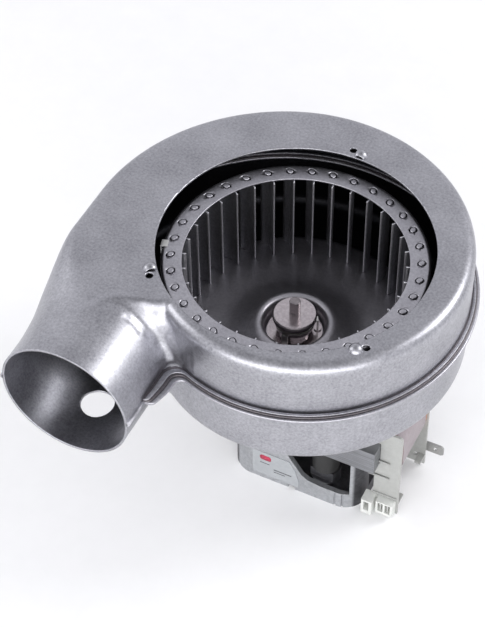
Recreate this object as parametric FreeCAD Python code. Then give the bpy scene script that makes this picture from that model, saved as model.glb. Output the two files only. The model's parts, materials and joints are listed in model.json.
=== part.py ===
import FreeCAD, Part
import math
import os
from FreeCAD import Vector

os.makedirs("parts", exist_ok=True)

# Centrifugal flue-gas exhaust fan: a two-piece stamped scroll housing with a round outlet,
# a forward-curved wheel with 34 blades, and a shaded-pole motor hung under the scroll.
# Row frame, millimetres: Z is the shaft, Z = 0 is the outer face of the scroll's cover,
# the outlet blows along -Y on the -X side, the motor's coil end points along +X.

# ---------------------------------------------------------------- driving dimensions
SHEET = 1.0                # housing sheet
OUTLET_R = 30.0            # outlet tube, outside
SCROLL_H = 2 * OUTLET_R    # the scroll is as tall as the tube
SCROLL_R = 87.9            # radius of the scroll's largest arc
SCROLL_STEP = 4.98         # each 60 degree arc of the scroll is this much smaller than the next
CUTOFF_R = 5.0             # rounding of the tongue between scroll and outlet
EDGE_R = 4.5               # rounding of the scroll's top and bottom edges
BOX_END_Y = -68.0          # the scroll's rectangular channel ends here
ROUND_START_Y = -82.0      # and the channel is fully round from here
MOUTH_Y = -98.5            # outlet mouth
SEAM_Z = -29.0             # the two housing halves meet in this plane
LIP = 3.2                  # width of the upper half's lip in the seam
HEM = 4.3                  # width of the lower half's folded hem
HEM_CORNER_R = 9.0         # rounding of the seam at the tongue
HEM_END_Y = -74.0
TUBE_LIP = 1.0             # width of the seam along the tube
INLET_R = 60.5             # inlet opening in the cover
DRAIN_R = 7.5              # round hole in the tube's floor
DRAIN_Y = MOUTH_Y + 25.0
LUG_R = 64.5               # pitch radius of the cover's three lanced lugs
LUG_ANGLES = (90.0, 220.0, 320.0)
LUG_HOLE_R = 1.7
LUG_IN_X = INLET_R + 0.4   # the lugs are trimmed flat just outside the inlet

BLADES = 34
RING_Z = -8.4              # top of the wheel
RING_IN_R = 49.3
RING_OUT_R = 58.6
PLATE_Z = -54.9            # upper face of the wheel's backplate
CUP_FLOOR_Z = -56.8        # underside of the cup in its middle
WHEEL_SHEET = 0.8
BLADE_SHEET = 0.5
BLADE_IN_R = 47.6
BLADE_OUT_R = 56.8
BLADE_LEAN = 4.5           # degrees that the blade's tip leads its root
BLADE_SAG = 1.6
TAB_AT = 0.66              # place of a blade's rivet tab along its section

SHAFT_R = 2.5
SHAFT_TOP_Z = -35.6
SHAFT_END_Z = -136.4
HUB_TOP_Z = -43.4
HUB_R = 9.9

BRACKET_Z = -67.5          # underside of the motor's mounting plate
BRACKET_SHEET = 1.5
DAMPER_PCD_R = 38.0
DAMPER_ANGLES = (60.0, 180.0, 300.0)
CORE_TOP_Z = -90.0
CORE_T = 14.0
CORE_BOTTOM_Z = CORE_TOP_Z - CORE_T
MOTOR_LEFT_X = -22.0
MOTOR_HALF_W = 24.0
MOTOR_CORNER_R = 11.5
SHIELD_RIGHT_X = 45.0
SHIELD_WALL = 2.5
SHIELD_BOTTOM_Z = -138.5
FLOOR_TOP_Z = -131.0
FLOOR_T = 2.0
ROTOR_R = 13.1
AIR_GAP = 0.4
LEG_X = 46.0               # centre of the coil's leg
LEG_W = 11.0
COIL_Z = CORE_TOP_Z - CORE_T / 2
CHEEK_HALF = 15.8          # half size of the bobbin's cheeks
CHEEK_Y = 17.0
CHEEK_T = 1.2
WINDING_HALF = 14.9
WINDING_CORNER_R = 9.6
TAPE_T = 0.4
TERMINAL_END_Z = -137.0
SCREW_R = 2.0
SCREW_X = (-11.5, 24.0)
SCREW_Y = 14.5
BUSH_R = 5.5
BUSH_H = 7.0
BUSH_GAP = 0.04
UPPER_BUSH_Z = -84.0       # lower faces of the two bushes
LOWER_BUSH_Z = -134.5

SCREW_HOLE_R = SCREW_R + 0.15
RIVET_R = 1.5              # the three rivets of the shaft seal
RIVET_HOLE_R = RIVET_R + 0.05
HUB_RIVET_R = 1.2          # the three rivets of the wheel's hub
HUB_RIVET_HOLE_R = HUB_RIVET_R + 0.05
HUB_RIVET_PCD_R = 10.4
HUB_RIVET_ANGLES = (30.0, 150.0, 270.0)
FLANGE_T = 1.1             # the hub's lower flange
SEAL_RIVET_R = 16.0
SEAL_RIVET_ANGLES = (0.0, 120.0, 240.0)
SEAL_TOP_Z = -SCROLL_H
SEAL_BOTTOM_Z = SEAL_TOP_Z - 2.5
BRIDGE_TOP_Z = CORE_TOP_Z + 2.0
BOSS_TOP_Z = -123.0        # the shield's bosses, under the rubber sleeves
BOSS_R = 7.3
VENT_IN_Y = 19.0           # the shield's vents are cut from here outwards
ARM_IN_Y = 17.6            # half width of the window in the core
CORE_RIGHT_X = LEG_X + LEG_W / 2
BLOCK_RIGHT_X = 29.0       # the core's main block ends here
PIN_X = (47.4, 53.6, 57.2)  # cavities of the plug housing
FAR = 200.0                # past everything, for cutting tools


# ---------------------------------------------------------------- small helpers
def box(x0, x1, y0, y1, z0, z1):
    return Part.makeBox(x1 - x0, y1 - y0, z1 - z0, Vector(x0, y0, z0))


def cyl(r, z0, z1, x=0.0, y=0.0):
    return Part.makeCylinder(r, z1 - z0, Vector(x, y, z0))


def tube(r_in, r_out, z0, z1, x=0.0, y=0.0):
    return cyl(r_out, z0, z1, x, y).cut(cyl(r_in, z0 - 1, z1 + 1, x, y))


def fused(shapes):
    first, rest = shapes[0], shapes[1:]
    return first.fuse(rest).removeSplitter() if rest else first


def spun(shape, degrees):
    turned = shape.copy()
    turned.rotate(Vector(0, 0, 0), Vector(0, 0, 1), degrees)
    return turned


def ring_of(shape, angles):
    return [spun(shape, angle) for angle in angles]


def prism(points, z0, z1):
    """A straight prism over a polygon of (x, y) points."""
    wire = Part.makePolygon([Vector(x, y, z0) for x, y in points + points[:1]])
    return Part.Face(wire).extrude(Vector(0, 0, z1 - z0))


def side_prism(points, y0, y1):
    """A straight prism along Y over a polygon of (x, z) points."""
    wire = Part.makePolygon([Vector(x, y0, z) for x, z in points + points[:1]])
    return Part.Face(wire).extrude(Vector(0, y1 - y0, 0))


def rounded_block(x0, x1, y0, y1, z0, z1, radius):
    block = box(x0, x1, y0, y1, z0, z1)
    upright = [e for e in block.Edges if abs(e.BoundBox.ZLength - (z1 - z0)) < 1e-6]
    return block.makeFillet(radius, upright)


def hexagon(across_flats, z0, z1, x=0.0, y=0.0):
    r = across_flats / math.sqrt(3)
    corners = [(x + r * math.cos(math.radians(60 * i)), y + r * math.sin(math.radians(60 * i)))
               for i in range(6)]
    return prism(corners, z0, z1)


def turned_part(profile):
    """Revolve a closed (radius, z) polygon about the shaft."""
    wire = Part.makePolygon([Vector(r, 0, z) for r, z in profile + profile[:1]])
    return Part.Face(wire).revolve(Vector(0, 0, 0), Vector(0, 0, 1), 360)


def shifted(points, gap):
    """Offset an open (r, z) path sideways by gap, with mitred corners."""
    normals = []
    for (r0, z0), (r1, z1) in zip(points, points[1:]):
        length = math.hypot(r1 - r0, z1 - z0)
        normals.append((-(z1 - z0) / length, (r1 - r0) / length))
    moved = [(points[0][0] + gap * normals[0][0], points[0][1] + gap * normals[0][1])]
    for (r, z), (ar, az), (br, bz) in zip(points[1:], normals, normals[1:]):
        k = gap / (1 + ar * br + az * bz)
        moved.append((r + k * (ar + br), z + k * (az + bz)))
    last = normals[-1]
    moved.append((points[-1][0] + gap * last[0], points[-1][1] + gap * last[1]))
    return moved


def bent_path(points, radii, side, gap):
    """Edges along an open (r, z) path whose corners are rounded; gap keeps them concentric."""
    edges = []
    path = [Vector(r, 0, z) for r, z in points]
    here = path[0]
    for i in range(1, len(path) - 1):
        before = (path[i - 1] - path[i]).normalize()
        after = (path[i + 1] - path[i]).normalize()
        turn = before.x * after.z - before.z * after.x
        radius = radii[i - 1] + math.copysign(gap, turn) * side
        half = before.getAngle(after) / 2
        cut = radius / math.tan(half)
        start = path[i] + before * cut
        end = path[i] + after * cut
        centre = path[i] + (before + after).normalize() * (radius / math.sin(half))
        middle = centre + (path[i] - centre).normalize() * radius
        edges.append(Part.LineSegment(here, start).toShape())
        edges.append(Part.Arc(start, middle, end).toShape())
        here = end
    edges.append(Part.LineSegment(here, path[-1]).toShape())
    return edges, path[0], path[-1]


def pressed_part(points, radii, thickness):
    """A sheet part of revolution: the (r, z) path is the sheet's middle line."""
    half = thickness / 2
    left, l0, l1 = bent_path(shifted(points, half), radii, 1, half)
    right, r0, r1 = bent_path(shifted(points, -half), radii, -1, half)
    ends = [Part.LineSegment(l0, r0).toShape(), Part.LineSegment(l1, r1).toShape()]
    wire = Part.Wire(Part.__sortEdges__(left + right + ends))
    return Part.Face(wire).revolve(Vector(0, 0, 0), Vector(0, 0, 1), 360)


def save(name, shape):
    solids = shape.Solids
    assert solids and shape.isValid(), name
    if len(solids) > 1:
        shape = Part.makeCompound(solids)
    shape.exportStep("parts/" + name + ".step")
    print("%-22s solids %3d  volume %10.1f" % (name, len(solids), shape.Volume))


# ---------------------------------------------------------------- the scroll's outline
# The spiral is laid out with arcs of 60 degrees about the corners of a small hexagon round
# the shaft; it ends pointing straight along -Y, and the outlet's outer side continues it.
ARC_SPAN = 60.0
SCROLL_OUT_X = -SCROLL_R - SCROLL_STEP / 2
TUBE_X = SCROLL_OUT_X + OUTLET_R
SCROLL_IN_X = TUBE_X + OUTLET_R


def polar(radius, degrees):
    return Vector(radius * math.cos(math.radians(degrees)), radius * math.sin(math.radians(degrees)), 0)


def scroll_arc(start):
    """Centre and radius of the arc whose normals run from start to start + ARC_SPAN."""
    turns_before_last = (180.0 - ARC_SPAN - start) / ARC_SPAN
    return polar(SCROLL_STEP, start + 2 * ARC_SPAN), SCROLL_R - SCROLL_STEP * turns_before_last


def scroll_face(offset, corner_r, end_y, z):
    """The scroll's outline with its outlet channel, grown outwards by offset."""
    inner_x = SCROLL_IN_X + offset
    outer_x = SCROLL_OUT_X - offset
    first_centre, first_r = scroll_arc(-2 * ARC_SPAN)
    reach = first_r + corner_r
    tongue_x = SCROLL_IN_X + corner_r
    tongue = Vector(tongue_x, -math.sqrt(reach ** 2 - (tongue_x - first_centre.x) ** 2), 0)
    out = tongue - first_centre
    normal = math.degrees(math.atan2(out.y, out.x))
    edges = []
    for i in range(5):
        start = -2 * ARC_SPAN + i * ARC_SPAN
        centre, radius = scroll_arc(start)
        begin = max(start, normal)
        stops = [begin, (begin + start + ARC_SPAN) / 2, start + ARC_SPAN]
        points = [centre + polar(radius + offset, a) for a in stops]
        edges.append(Part.Arc(*points).toShape())
        if i == 0:
            tongue_start = points[0]
    spiral_end = points[2]
    tongue_end = Vector(inner_x, tongue.y, 0)
    middle = tongue + ((tongue_end - tongue) + (tongue_start - tongue)).normalize() * (corner_r - offset)
    edges += [
        Part.LineSegment(spiral_end, Vector(outer_x, end_y, 0)).toShape(),
        Part.LineSegment(Vector(outer_x, end_y, 0), Vector(inner_x, end_y, 0)).toShape(),
        Part.LineSegment(Vector(inner_x, end_y, 0), tongue_end).toShape(),
        Part.Arc(tongue_end, middle, tongue_start).toShape(),
    ]
    face = Part.Face(Part.Wire(edges))
    face.translate(Vector(0, 0, z))
    return face


def scroll_slab(offset, corner_r, end_y, z0, z1):
    return scroll_face(offset, corner_r, end_y, z0).extrude(Vector(0, 0, z1 - z0))


def channel_wire(y, half, corner_r):
    """A square section of the outlet channel with rounded corners, in eight edges."""
    z = -OUTLET_R
    flat = half - corner_r
    bend = corner_r * (1 - math.sqrt(0.5))
    edges = []
    for quarter in range(4):
        turn = FreeCAD.Rotation(Vector(0, 1, 0), 90 * quarter)
        spots = [(-flat, half), (flat, half), (half - bend, half - bend), (half, flat)]
        side, start, middle, end = [turn.multVec(Vector(x, 0, h)) + Vector(TUBE_X, y, z) for x, h in spots]
        edges.append(Part.LineSegment(side, start).toShape())
        edges.append(Part.Arc(start, middle, end).toShape())
    return Part.Wire(edges)


def scroll_volume(inset):
    """The whole scroll with its outlet, as one body; inset shrinks it by the sheet."""
    slab = scroll_slab(-inset, CUTOFF_R, BOX_END_Y, -SCROLL_H + inset, -inset)
    rims = []
    for edge in slab.Edges:
        level = edge.BoundBox.ZLength < 0.01
        at_end = edge.BoundBox.YMax < BOX_END_Y + 0.01
        if level and not at_end:
            rims.append(edge)
    slab = slab.makeFillet(EDGE_R - inset, rims)
    half = OUTLET_R - inset
    almost_round = half - 0.4
    sections = [channel_wire(BOX_END_Y, half, EDGE_R - inset),
                channel_wire(ROUND_START_Y, half, almost_round)]
    neck = Part.makeLoft(sections, True, True)
    pipe = Part.makeCylinder(half, ROUND_START_Y - MOUTH_Y + 2 * inset,
                             Vector(TUBE_X, MOUTH_Y - 2 * inset, -OUTLET_R), Vector(0, 1, 0))
    return slab.fuse([neck, pipe])


def tube_lips(z0, z1):
    """The narrow seam edges on both sides of the outlet tube."""
    wide = OUTLET_R + TUBE_LIP
    slab = box(TUBE_X - wide, TUBE_X + wide, MOUTH_Y, BOX_END_Y, z0, z1)
    narrow = OUTLET_R - 0.6
    core = box(TUBE_X - narrow, TUBE_X + narrow, MOUTH_Y - 1, BOX_END_Y + 1, z0 - 1, z1 + 1)
    return slab.cut(core)


def lanced_lug():
    """A raised tongue beside a small hole, at angle 0 on the lug circle."""
    dome = Part.makeSphere(3.4, Vector(LUG_R - 1.2, -2.2, -1.2))
    dome = dome.common(box(LUG_IN_X, LUG_R + 4, -7, 0, -0.5, 4))
    hollow = Part.makeSphere(2.7, Vector(LUG_R - 1.2, -2.2, -1.2))
    return dome.cut(hollow.common(box(LUG_R - 6, LUG_R + 4, -7, 1, -3, 4)))


def lug_hole():
    return cyl(LUG_HOLE_R, -SHEET - 1, 4, LUG_R, LUG_HOLE_R + 0.3)


def housing_halves():
    shell = scroll_volume(0).cut(scroll_volume(SHEET))
    above = box(-FAR, FAR, -FAR, FAR, SEAM_Z, 1)
    below = box(-FAR, FAR, -FAR, FAR, -SCROLL_H - 1, SEAM_Z)
    inside = scroll_volume(SHEET / 2)

    lip = scroll_slab(LIP, HEM_CORNER_R, HEM_END_Y, SEAM_Z, SEAM_Z + SHEET)
    lip = lip.fuse(tube_lips(SEAM_Z, SEAM_Z + SHEET)).cut(inside)
    upper = shell.common(above).fuse(lip)
    upper = upper.cut([cyl(INLET_R, -10, 10)] + ring_of(lug_hole(), LUG_ANGLES))
    upper = upper.fuse(ring_of(lanced_lug(), LUG_ANGLES))

    ledge = scroll_slab(HEM, HEM_CORNER_R, HEM_END_Y, SEAM_Z - SHEET, SEAM_Z)
    ledge = ledge.fuse(tube_lips(SEAM_Z - SHEET, SEAM_Z)).cut(inside)
    rim = scroll_slab(HEM, HEM_CORNER_R, HEM_END_Y, SEAM_Z, SEAM_Z + 2 * SHEET)
    rim = rim.cut(scroll_slab(LIP + 0.1, HEM_CORNER_R, HEM_END_Y - 1, SEAM_Z - 1, SEAM_Z + 3 * SHEET))
    fold = scroll_slab(HEM, HEM_CORNER_R, HEM_END_Y, SEAM_Z + SHEET, SEAM_Z + 2 * SHEET)
    fold = fold.cut(scroll_slab(1.3, HEM_CORNER_R, HEM_END_Y - 1, SEAM_Z - 1, SEAM_Z + 3 * SHEET))
    lower = shell.common(below).fuse([ledge, rim, fold])
    drain = cyl(DRAIN_R, -SCROLL_H - 2, -SCROLL_H + 8, TUBE_X, DRAIN_Y)
    z0, z1 = -SCROLL_H - 2, -SCROLL_H + 3
    damper_holes = ring_of(cyl(SCREW_HOLE_R, z0, z1, DAMPER_PCD_R), DAMPER_ANGLES)
    seal_holes = ring_of(cyl(RIVET_HOLE_R, z0, z1, SEAL_RIVET_R), SEAL_RIVET_ANGLES)
    lower = lower.cut([drain, cyl(7.0, z0, z1)] + damper_holes + seal_holes)
    return upper.removeSplitter(), lower.removeSplitter()


# ---------------------------------------------------------------- shaft seal and motor mounting

def shaft_seal():
    return tube(SHAFT_R + 0.4, 10.6, SEAL_BOTTOM_Z, SEAL_TOP_Z)


def seal_plate():
    """A pressed dish that holds the felt ring against the scroll's floor."""
    path = [(SHAFT_R + 1.2, SEAL_BOTTOM_Z - 0.3), (11.4, SEAL_BOTTOM_Z - 0.3),
            (11.4, SEAL_TOP_Z - 0.3), (19.0, SEAL_TOP_Z - 0.3)]
    dish = pressed_part(path, (0.7, 0.7), 0.6)
    return dish.cut(ring_of(cyl(RIVET_HOLE_R, -70, -50, SEAL_RIVET_R), SEAL_RIVET_ANGLES))


def seal_rivets():
    shank = cyl(RIVET_R, SEAL_TOP_Z - 0.6, SEAL_TOP_Z + SHEET, SEAL_RIVET_R)
    inner_head = cyl(2.4, SEAL_TOP_Z + SHEET, SEAL_TOP_Z + SHEET + 0.8, SEAL_RIVET_R)
    outer_head = cyl(2.4, SEAL_TOP_Z - 1.4, SEAL_TOP_Z - 0.6, SEAL_RIVET_R)
    return Part.makeCompound(ring_of(fused([shank, inner_head, outer_head]), SEAL_RIVET_ANGLES))


def mount_grommets():
    top, bottom = -SCROLL_H, BRACKET_Z + BRACKET_SHEET
    middle = (top + bottom) / 2
    profile = [(SCREW_R + 0.1, bottom), (7.0, bottom), (7.0, bottom + 1.6), (5.2, middle),
               (7.0, top - 1.6), (7.0, top), (SCREW_R + 0.1, top)]
    grommet = turned_part(profile)
    grommet.translate(Vector(DAMPER_PCD_R, 0, 0))
    return Part.makeCompound(ring_of(grommet, DAMPER_ANGLES))


def pan_screw(x, y, head_z, tip_z, head_r, head_h):
    """A screw with its head above head_z and its shank down to tip_z."""
    head = cyl(head_r, head_z, head_z + head_h, x, y)
    rim = [e for e in head.Edges if e.BoundBox.ZMin > head_z + head_h - 1e-6]
    head = head.makeFillet(head_h * 0.45, rim)
    z0, z1 = head_z + head_h * 0.45, head_z + 2 * head_h
    long, thin = head_r * 0.6, 0.45
    cross = [box(x - a, x + a, y - b, y + b, z0, z1) for a, b in ((long, thin), (thin, long))]
    shank = cyl(SCREW_R, tip_z, head_z, x, y)
    return head.cut(cross).fuse(shank).removeSplitter()


def mount_screws():
    screw = pan_screw(DAMPER_PCD_R, 0, -SCROLL_H + SHEET, BRACKET_Z - 5.0, 3.8, 2.0)
    return Part.makeCompound(ring_of(screw, DAMPER_ANGLES))


def mount_nuts():
    nut = hexagon(7.0, BRACKET_Z - 3.2, BRACKET_Z, DAMPER_PCD_R)
    thread = cyl(SCREW_R, BRACKET_Z - 4, BRACKET_Z + 1, DAMPER_PCD_R)
    return Part.makeCompound(ring_of(nut.cut(thread), DAMPER_ANGLES))


def screw_places():
    return [(x, y) for x in SCREW_X for y in (-SCREW_Y, SCREW_Y)]


def motor_bracket():
    """Steel plate between the dampers and the motor, open in the middle for the cooling fan."""
    z0, z1 = BRACKET_Z, BRACKET_Z + BRACKET_SHEET
    ears = [cyl(8.5, z0, z1, DAMPER_PCD_R)]
    arm = box(18, DAMPER_PCD_R, -8.5, 8.5, z0, z1)
    spokes = ring_of(ears[0].fuse(arm), DAMPER_ANGLES)
    plate = rounded_block(-24, 32, -MOTOR_HALF_W, MOTOR_HALF_W, z0, z1, MOTOR_CORNER_R)
    edge = MOTOR_HALF_W - BRACKET_SHEET / 2
    lips = [box(-14, 22, y, y + BRACKET_SHEET, z0 - 5, z1) for y in (-edge - BRACKET_SHEET, edge)]
    body = fused([plate] + spokes + lips)
    holes = [cyl(SCREW_HOLE_R, z0 - 1, z1 + 1, x, y) for x, y in screw_places()]
    holes += ring_of(cyl(SCREW_HOLE_R, z0 - 1, z1 + 1, DAMPER_PCD_R), DAMPER_ANGLES)
    return body.cut(holes + [cyl(14.8, z0 - 1, z1 + 1)])


def motor_screws():
    top = BRACKET_Z + BRACKET_SHEET
    tip = SHIELD_BOTTOM_Z + 1.5
    return Part.makeCompound([pan_screw(x, y, top, tip, 3.8, 2.4) for x, y in screw_places()])


def motor_nuts():
    under = FLOOR_TOP_Z - FLOOR_T
    nuts = [hexagon(7.0, under - 3.2, under, x, y) for x, y in screw_places()]
    threads = [cyl(SCREW_R, under - 4, under + 1, x, y) for x, y in screw_places()]
    return Part.makeCompound([nut.cut(thread) for nut, thread in zip(nuts, threads)])


def upper_spacers():
    sleeves = [tube(SCREW_HOLE_R, 4.0, BRIDGE_TOP_Z, BRACKET_Z, x, y) for x, y in screw_places()]
    return Part.makeCompound(sleeves)


def lower_spacers():
    """Black rubber sleeves between the shield's bosses and the core."""
    sleeves = [tube(SCREW_HOLE_R, 6.3, BOSS_TOP_Z, CORE_BOTTOM_Z, x, y) for x, y in screw_places()]
    return Part.makeCompound(sleeves)


# ---------------------------------------------------------------- motor: stator

def stator_core():
    z0, z1 = CORE_BOTTOM_Z, CORE_TOP_Z
    w, past = MOTOR_HALF_W, CORE_RIGHT_X + MOTOR_CORNER_R
    outer = rounded_block(MOTOR_LEFT_X, past, -w, w, z0, z1, MOTOR_CORNER_R)
    outer = outer.common(box(MOTOR_LEFT_X, CORE_RIGHT_X, -w, w, z0, z1))
    window = box(BLOCK_RIGHT_X, LEG_X - LEG_W / 2, -ARM_IN_Y, ARM_IN_Y, z0 - 1, z1 + 1)
    bore = cyl(ROTOR_R + AIR_GAP, z0 - 1, z1 + 1)
    gap = box(0, BLOCK_RIGHT_X + 1, -2.5, 2.5, z0 - 1, z1 + 1)
    bridge = box(-18.5, 0, -2.0, 2.0, z0 - 1, z1 + 1)
    holes = [cyl(SCREW_HOLE_R, z0 - 1, z1 + 1, x, y) for x, y in screw_places()]
    slots = [slot for slot, _ in shading_slots()]
    return outer.cut([window, bore, gap, bridge] + holes + slots)


def shading_slots():
    """Slots beside the bore on each pole, and the copper bar shape that fills them."""
    made = []
    for side in (-1, 1):
        for x0, x1 in ((2.4, 4.0), (8.2, 9.8)):
            y0, y1 = sorted((side * 8.0, side * 16.4))
            slot = box(x0, x1, y0, y1, CORE_BOTTOM_Z - 1, CORE_TOP_Z + 1)
            made.append((slot, (x0, x1, side)))
    return made


def shading_rings():
    """One copper strap loop in each shading slot, folded over the stack's faces."""
    loops = []
    strap, reach = 1.1, 3.4
    for _, (x0, x1, side) in shading_slots():
        y0, y1 = sorted((side * 14.0, side * 16.2))
        loop = [box(x0 + 0.1, x1 - 0.1, y0, y1, CORE_BOTTOM_Z - strap, CORE_TOP_Z + strap)]
        for z in (CORE_TOP_Z, CORE_BOTTOM_Z - strap):
            loop.append(box(x0 + 0.1, x1 + reach, y0, y1, z, z + strap))
        loops.append(fused(loop))
    return Part.makeCompound(loops)


def coil_bobbin():
    z0, z1 = CORE_BOTTOM_Z - 0.15, CORE_TOP_Z + 0.15
    x0, x1 = LEG_X - LEG_W / 2 - 0.15, LEG_X + LEG_W / 2 + 0.15
    wall = 1.0
    sleeve = box(x0 - wall, x1 + wall, -CHEEK_Y, CHEEK_Y, z0 - wall, z1 + wall)
    parts = [sleeve]
    right = LEG_X + CHEEK_HALF
    for side in (-1, 1):
        y0, y1 = sorted((side * CHEEK_Y, side * (CHEEK_Y - CHEEK_T)))
        cheek = box(LEG_X - CHEEK_HALF, right, y0, y1, COIL_Z - CHEEK_HALF, COIL_Z + CHEEK_HALF)
        upright = [e for e in cheek.Edges if abs(e.BoundBox.YLength - CHEEK_T) < 1e-6]
        parts.append(cheek.makeFillet(1.5, upright))
        left = 49.3 if side < 0 else 52.0
        parts.append(box(left, right, y0, y1, TERMINAL_END_Z, COIL_Z))
        rib_y = sorted((side * CHEEK_Y, side * (CHEEK_Y + 0.7)))
        rib_z = TERMINAL_END_Z + (10.8 if side < 0 else 17.0)
        parts.append(box(left, right - 0.6, *rib_y, rib_z, rib_z + 1.0))
        web_y = sorted((side * CHEEK_Y, side * (CHEEK_Y - 7.0)))
        parts.append(box(right - 3.0, right, *web_y, TERMINAL_END_Z + 6.0, TERMINAL_END_Z + 7.2))
    body = fused(parts)
    peg_hole = Part.makeCylinder(0.9, 6, Vector(57.6, -CHEEK_Y - 3, -129.5), Vector(0, 1, 0))
    dimple = Part.makeCylinder(1.1, 6, Vector(57.0, CHEEK_Y - 3, -131.5), Vector(0, 1, 0))
    return body.cut([box(x0, x1, -30, 30, z0, z1), peg_hole, dimple])


def coil_block(half, corner, y_half):
    """A block about the coil's axis with its four long edges rounded."""
    block = box(LEG_X - half, LEG_X + half, -y_half, y_half, COIL_Z - half, COIL_Z + half)
    along = [e for e in block.Edges if abs(e.BoundBox.YLength - 2 * y_half) < 1e-6]
    return block.makeFillet(corner, along)


def coil_winding():
    half_x, half_z = LEG_W / 2 + 1.2, CORE_T / 2 + 1.2
    hole = box(LEG_X - half_x, LEG_X + half_x, -40, 40, COIL_Z - half_z, COIL_Z + half_z)
    return coil_block(WINDING_HALF, WINDING_CORNER_R, CHEEK_Y - CHEEK_T - 0.05).cut(hole)


def coil_tape():
    room = 0.05
    inner = coil_block(WINDING_HALF + room, WINDING_CORNER_R + room, 20)
    outer = coil_block(WINDING_HALF + TAPE_T, WINDING_CORNER_R + TAPE_T, 13.4)
    return outer.cut(inner)


def connector_block():
    """A two-way plug housing on the front cheek's lower end."""
    y0, y1 = -CHEEK_Y - 6.6, -CHEEK_Y - 0.02
    left = rounded_block(46.0, 51.4, y0, y1, -136.0, -126.4, 0.5)
    right = rounded_block(52.4, 60.6, y0 + 2.2, y1, -135.2, -126.8, 0.5)
    bar = box(46.4, 61.0, -CHEEK_Y - 1.4, y1, -136.6, -127.2)
    body = fused([left, right, bar])
    cavities = [box(x, x + 2.6, y0 - 1, -CHEEK_Y - 1.6, -133.6, -127.6) for x in PIN_X]
    return body.cut(cavities)


def connector_pins():
    pins = [box(x + 0.9, x + 1.7, -CHEEK_Y - 4.0, -CHEEK_Y - 1.6, -132.6, -128.6) for x in PIN_X]
    return Part.makeCompound(pins)


def spade_terminal():
    """A 6.3 mm tab that stands out of the rear cheek's lower end."""
    y0, y1 = CHEEK_Y + 0.02, CHEEK_Y + 0.82
    right = LEG_X + CHEEK_HALF
    blade = [(right - 5, -127.9), (right + 7.4, -127.9), (right + 8.6, -127.0), (right + 8.6, -122.8),
             (right + 7.4, -121.6), (right - 5, -121.6)]
    tab = side_prism(blade, y0, y1)
    return tab.cut(Part.makeCylinder(0.9, 6, Vector(right + 4.4, CHEEK_Y - 2, -124.7), Vector(0, 1, 0)))


# ---------------------------------------------------------------- motor: bearing brackets
def bush(z0):
    """A sintered bush with a barrel-shaped outside."""
    z1 = z0 + BUSH_H
    bore = SHAFT_R + BUSH_GAP
    rim = BUSH_R - 0.9
    barrel = [Part.LineSegment(Vector(bore, 0, z0), Vector(rim, 0, z0)).toShape(),
              Part.Arc(Vector(rim, 0, z0), Vector(BUSH_R, 0, (z0 + z1) / 2), Vector(rim, 0, z1)).toShape(),
              Part.LineSegment(Vector(rim, 0, z1), Vector(bore, 0, z1)).toShape(),
              Part.LineSegment(Vector(bore, 0, z1), Vector(bore, 0, z0)).toShape()]
    return Part.Face(Part.Wire(barrel)).revolve(Vector(0, 0, 0), Vector(0, 0, 1), 360)


def upper_bearing_bridge():
    """Die-cast plate on the core with a vented dome that holds the upper bush."""
    z0 = CORE_TOP_Z
    plate = rounded_block(MOTOR_LEFT_X + 0.6, BLOCK_RIGHT_X - 0.4, -MOTOR_HALF_W + 0.6, MOTOR_HALF_W - 0.6,
                          z0, BRIDGE_TOP_Z, MOTOR_CORNER_R - 0.6)
    dome_out = turned_part([(0, z0), (14.2, z0), (14.2, z0 + 4), (11.6, z0 + 9.5), (8.6, z0 + 10),
                            (8.0, z0 + 14.5), (0, z0 + 14.5)])
    dome_in = turned_part([(0, z0 - 1), (12.8, z0 - 1), (12.8, z0 + 3.6), (10.4, z0 + 7.8), (7.4, z0 + 7.8),
                           (7.4, UPPER_BUSH_Z), (0, UPPER_BUSH_Z)])
    vents = ring_of(box(9.2, 20, -2.8, 2.8, z0 + 2.6, z0 + 12), [45 + 90 * i for i in range(4)])
    seat = cyl(BUSH_R + 0.02, UPPER_BUSH_Z - 1, UPPER_BUSH_Z + BUSH_H + 2)
    holes = [cyl(SCREW_HOLE_R, z0 - 1, z0 + 20, x, y) for x, y in screw_places()]
    shades = [box(1.5, 14.5, *sorted((s * 13.6, s * 16.6)), z0 - 1, z0 + 1.3) for s in (-1, 1)]
    return plate.fuse(dome_out).cut([dome_in, seat] + vents + holes + shades)


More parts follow.
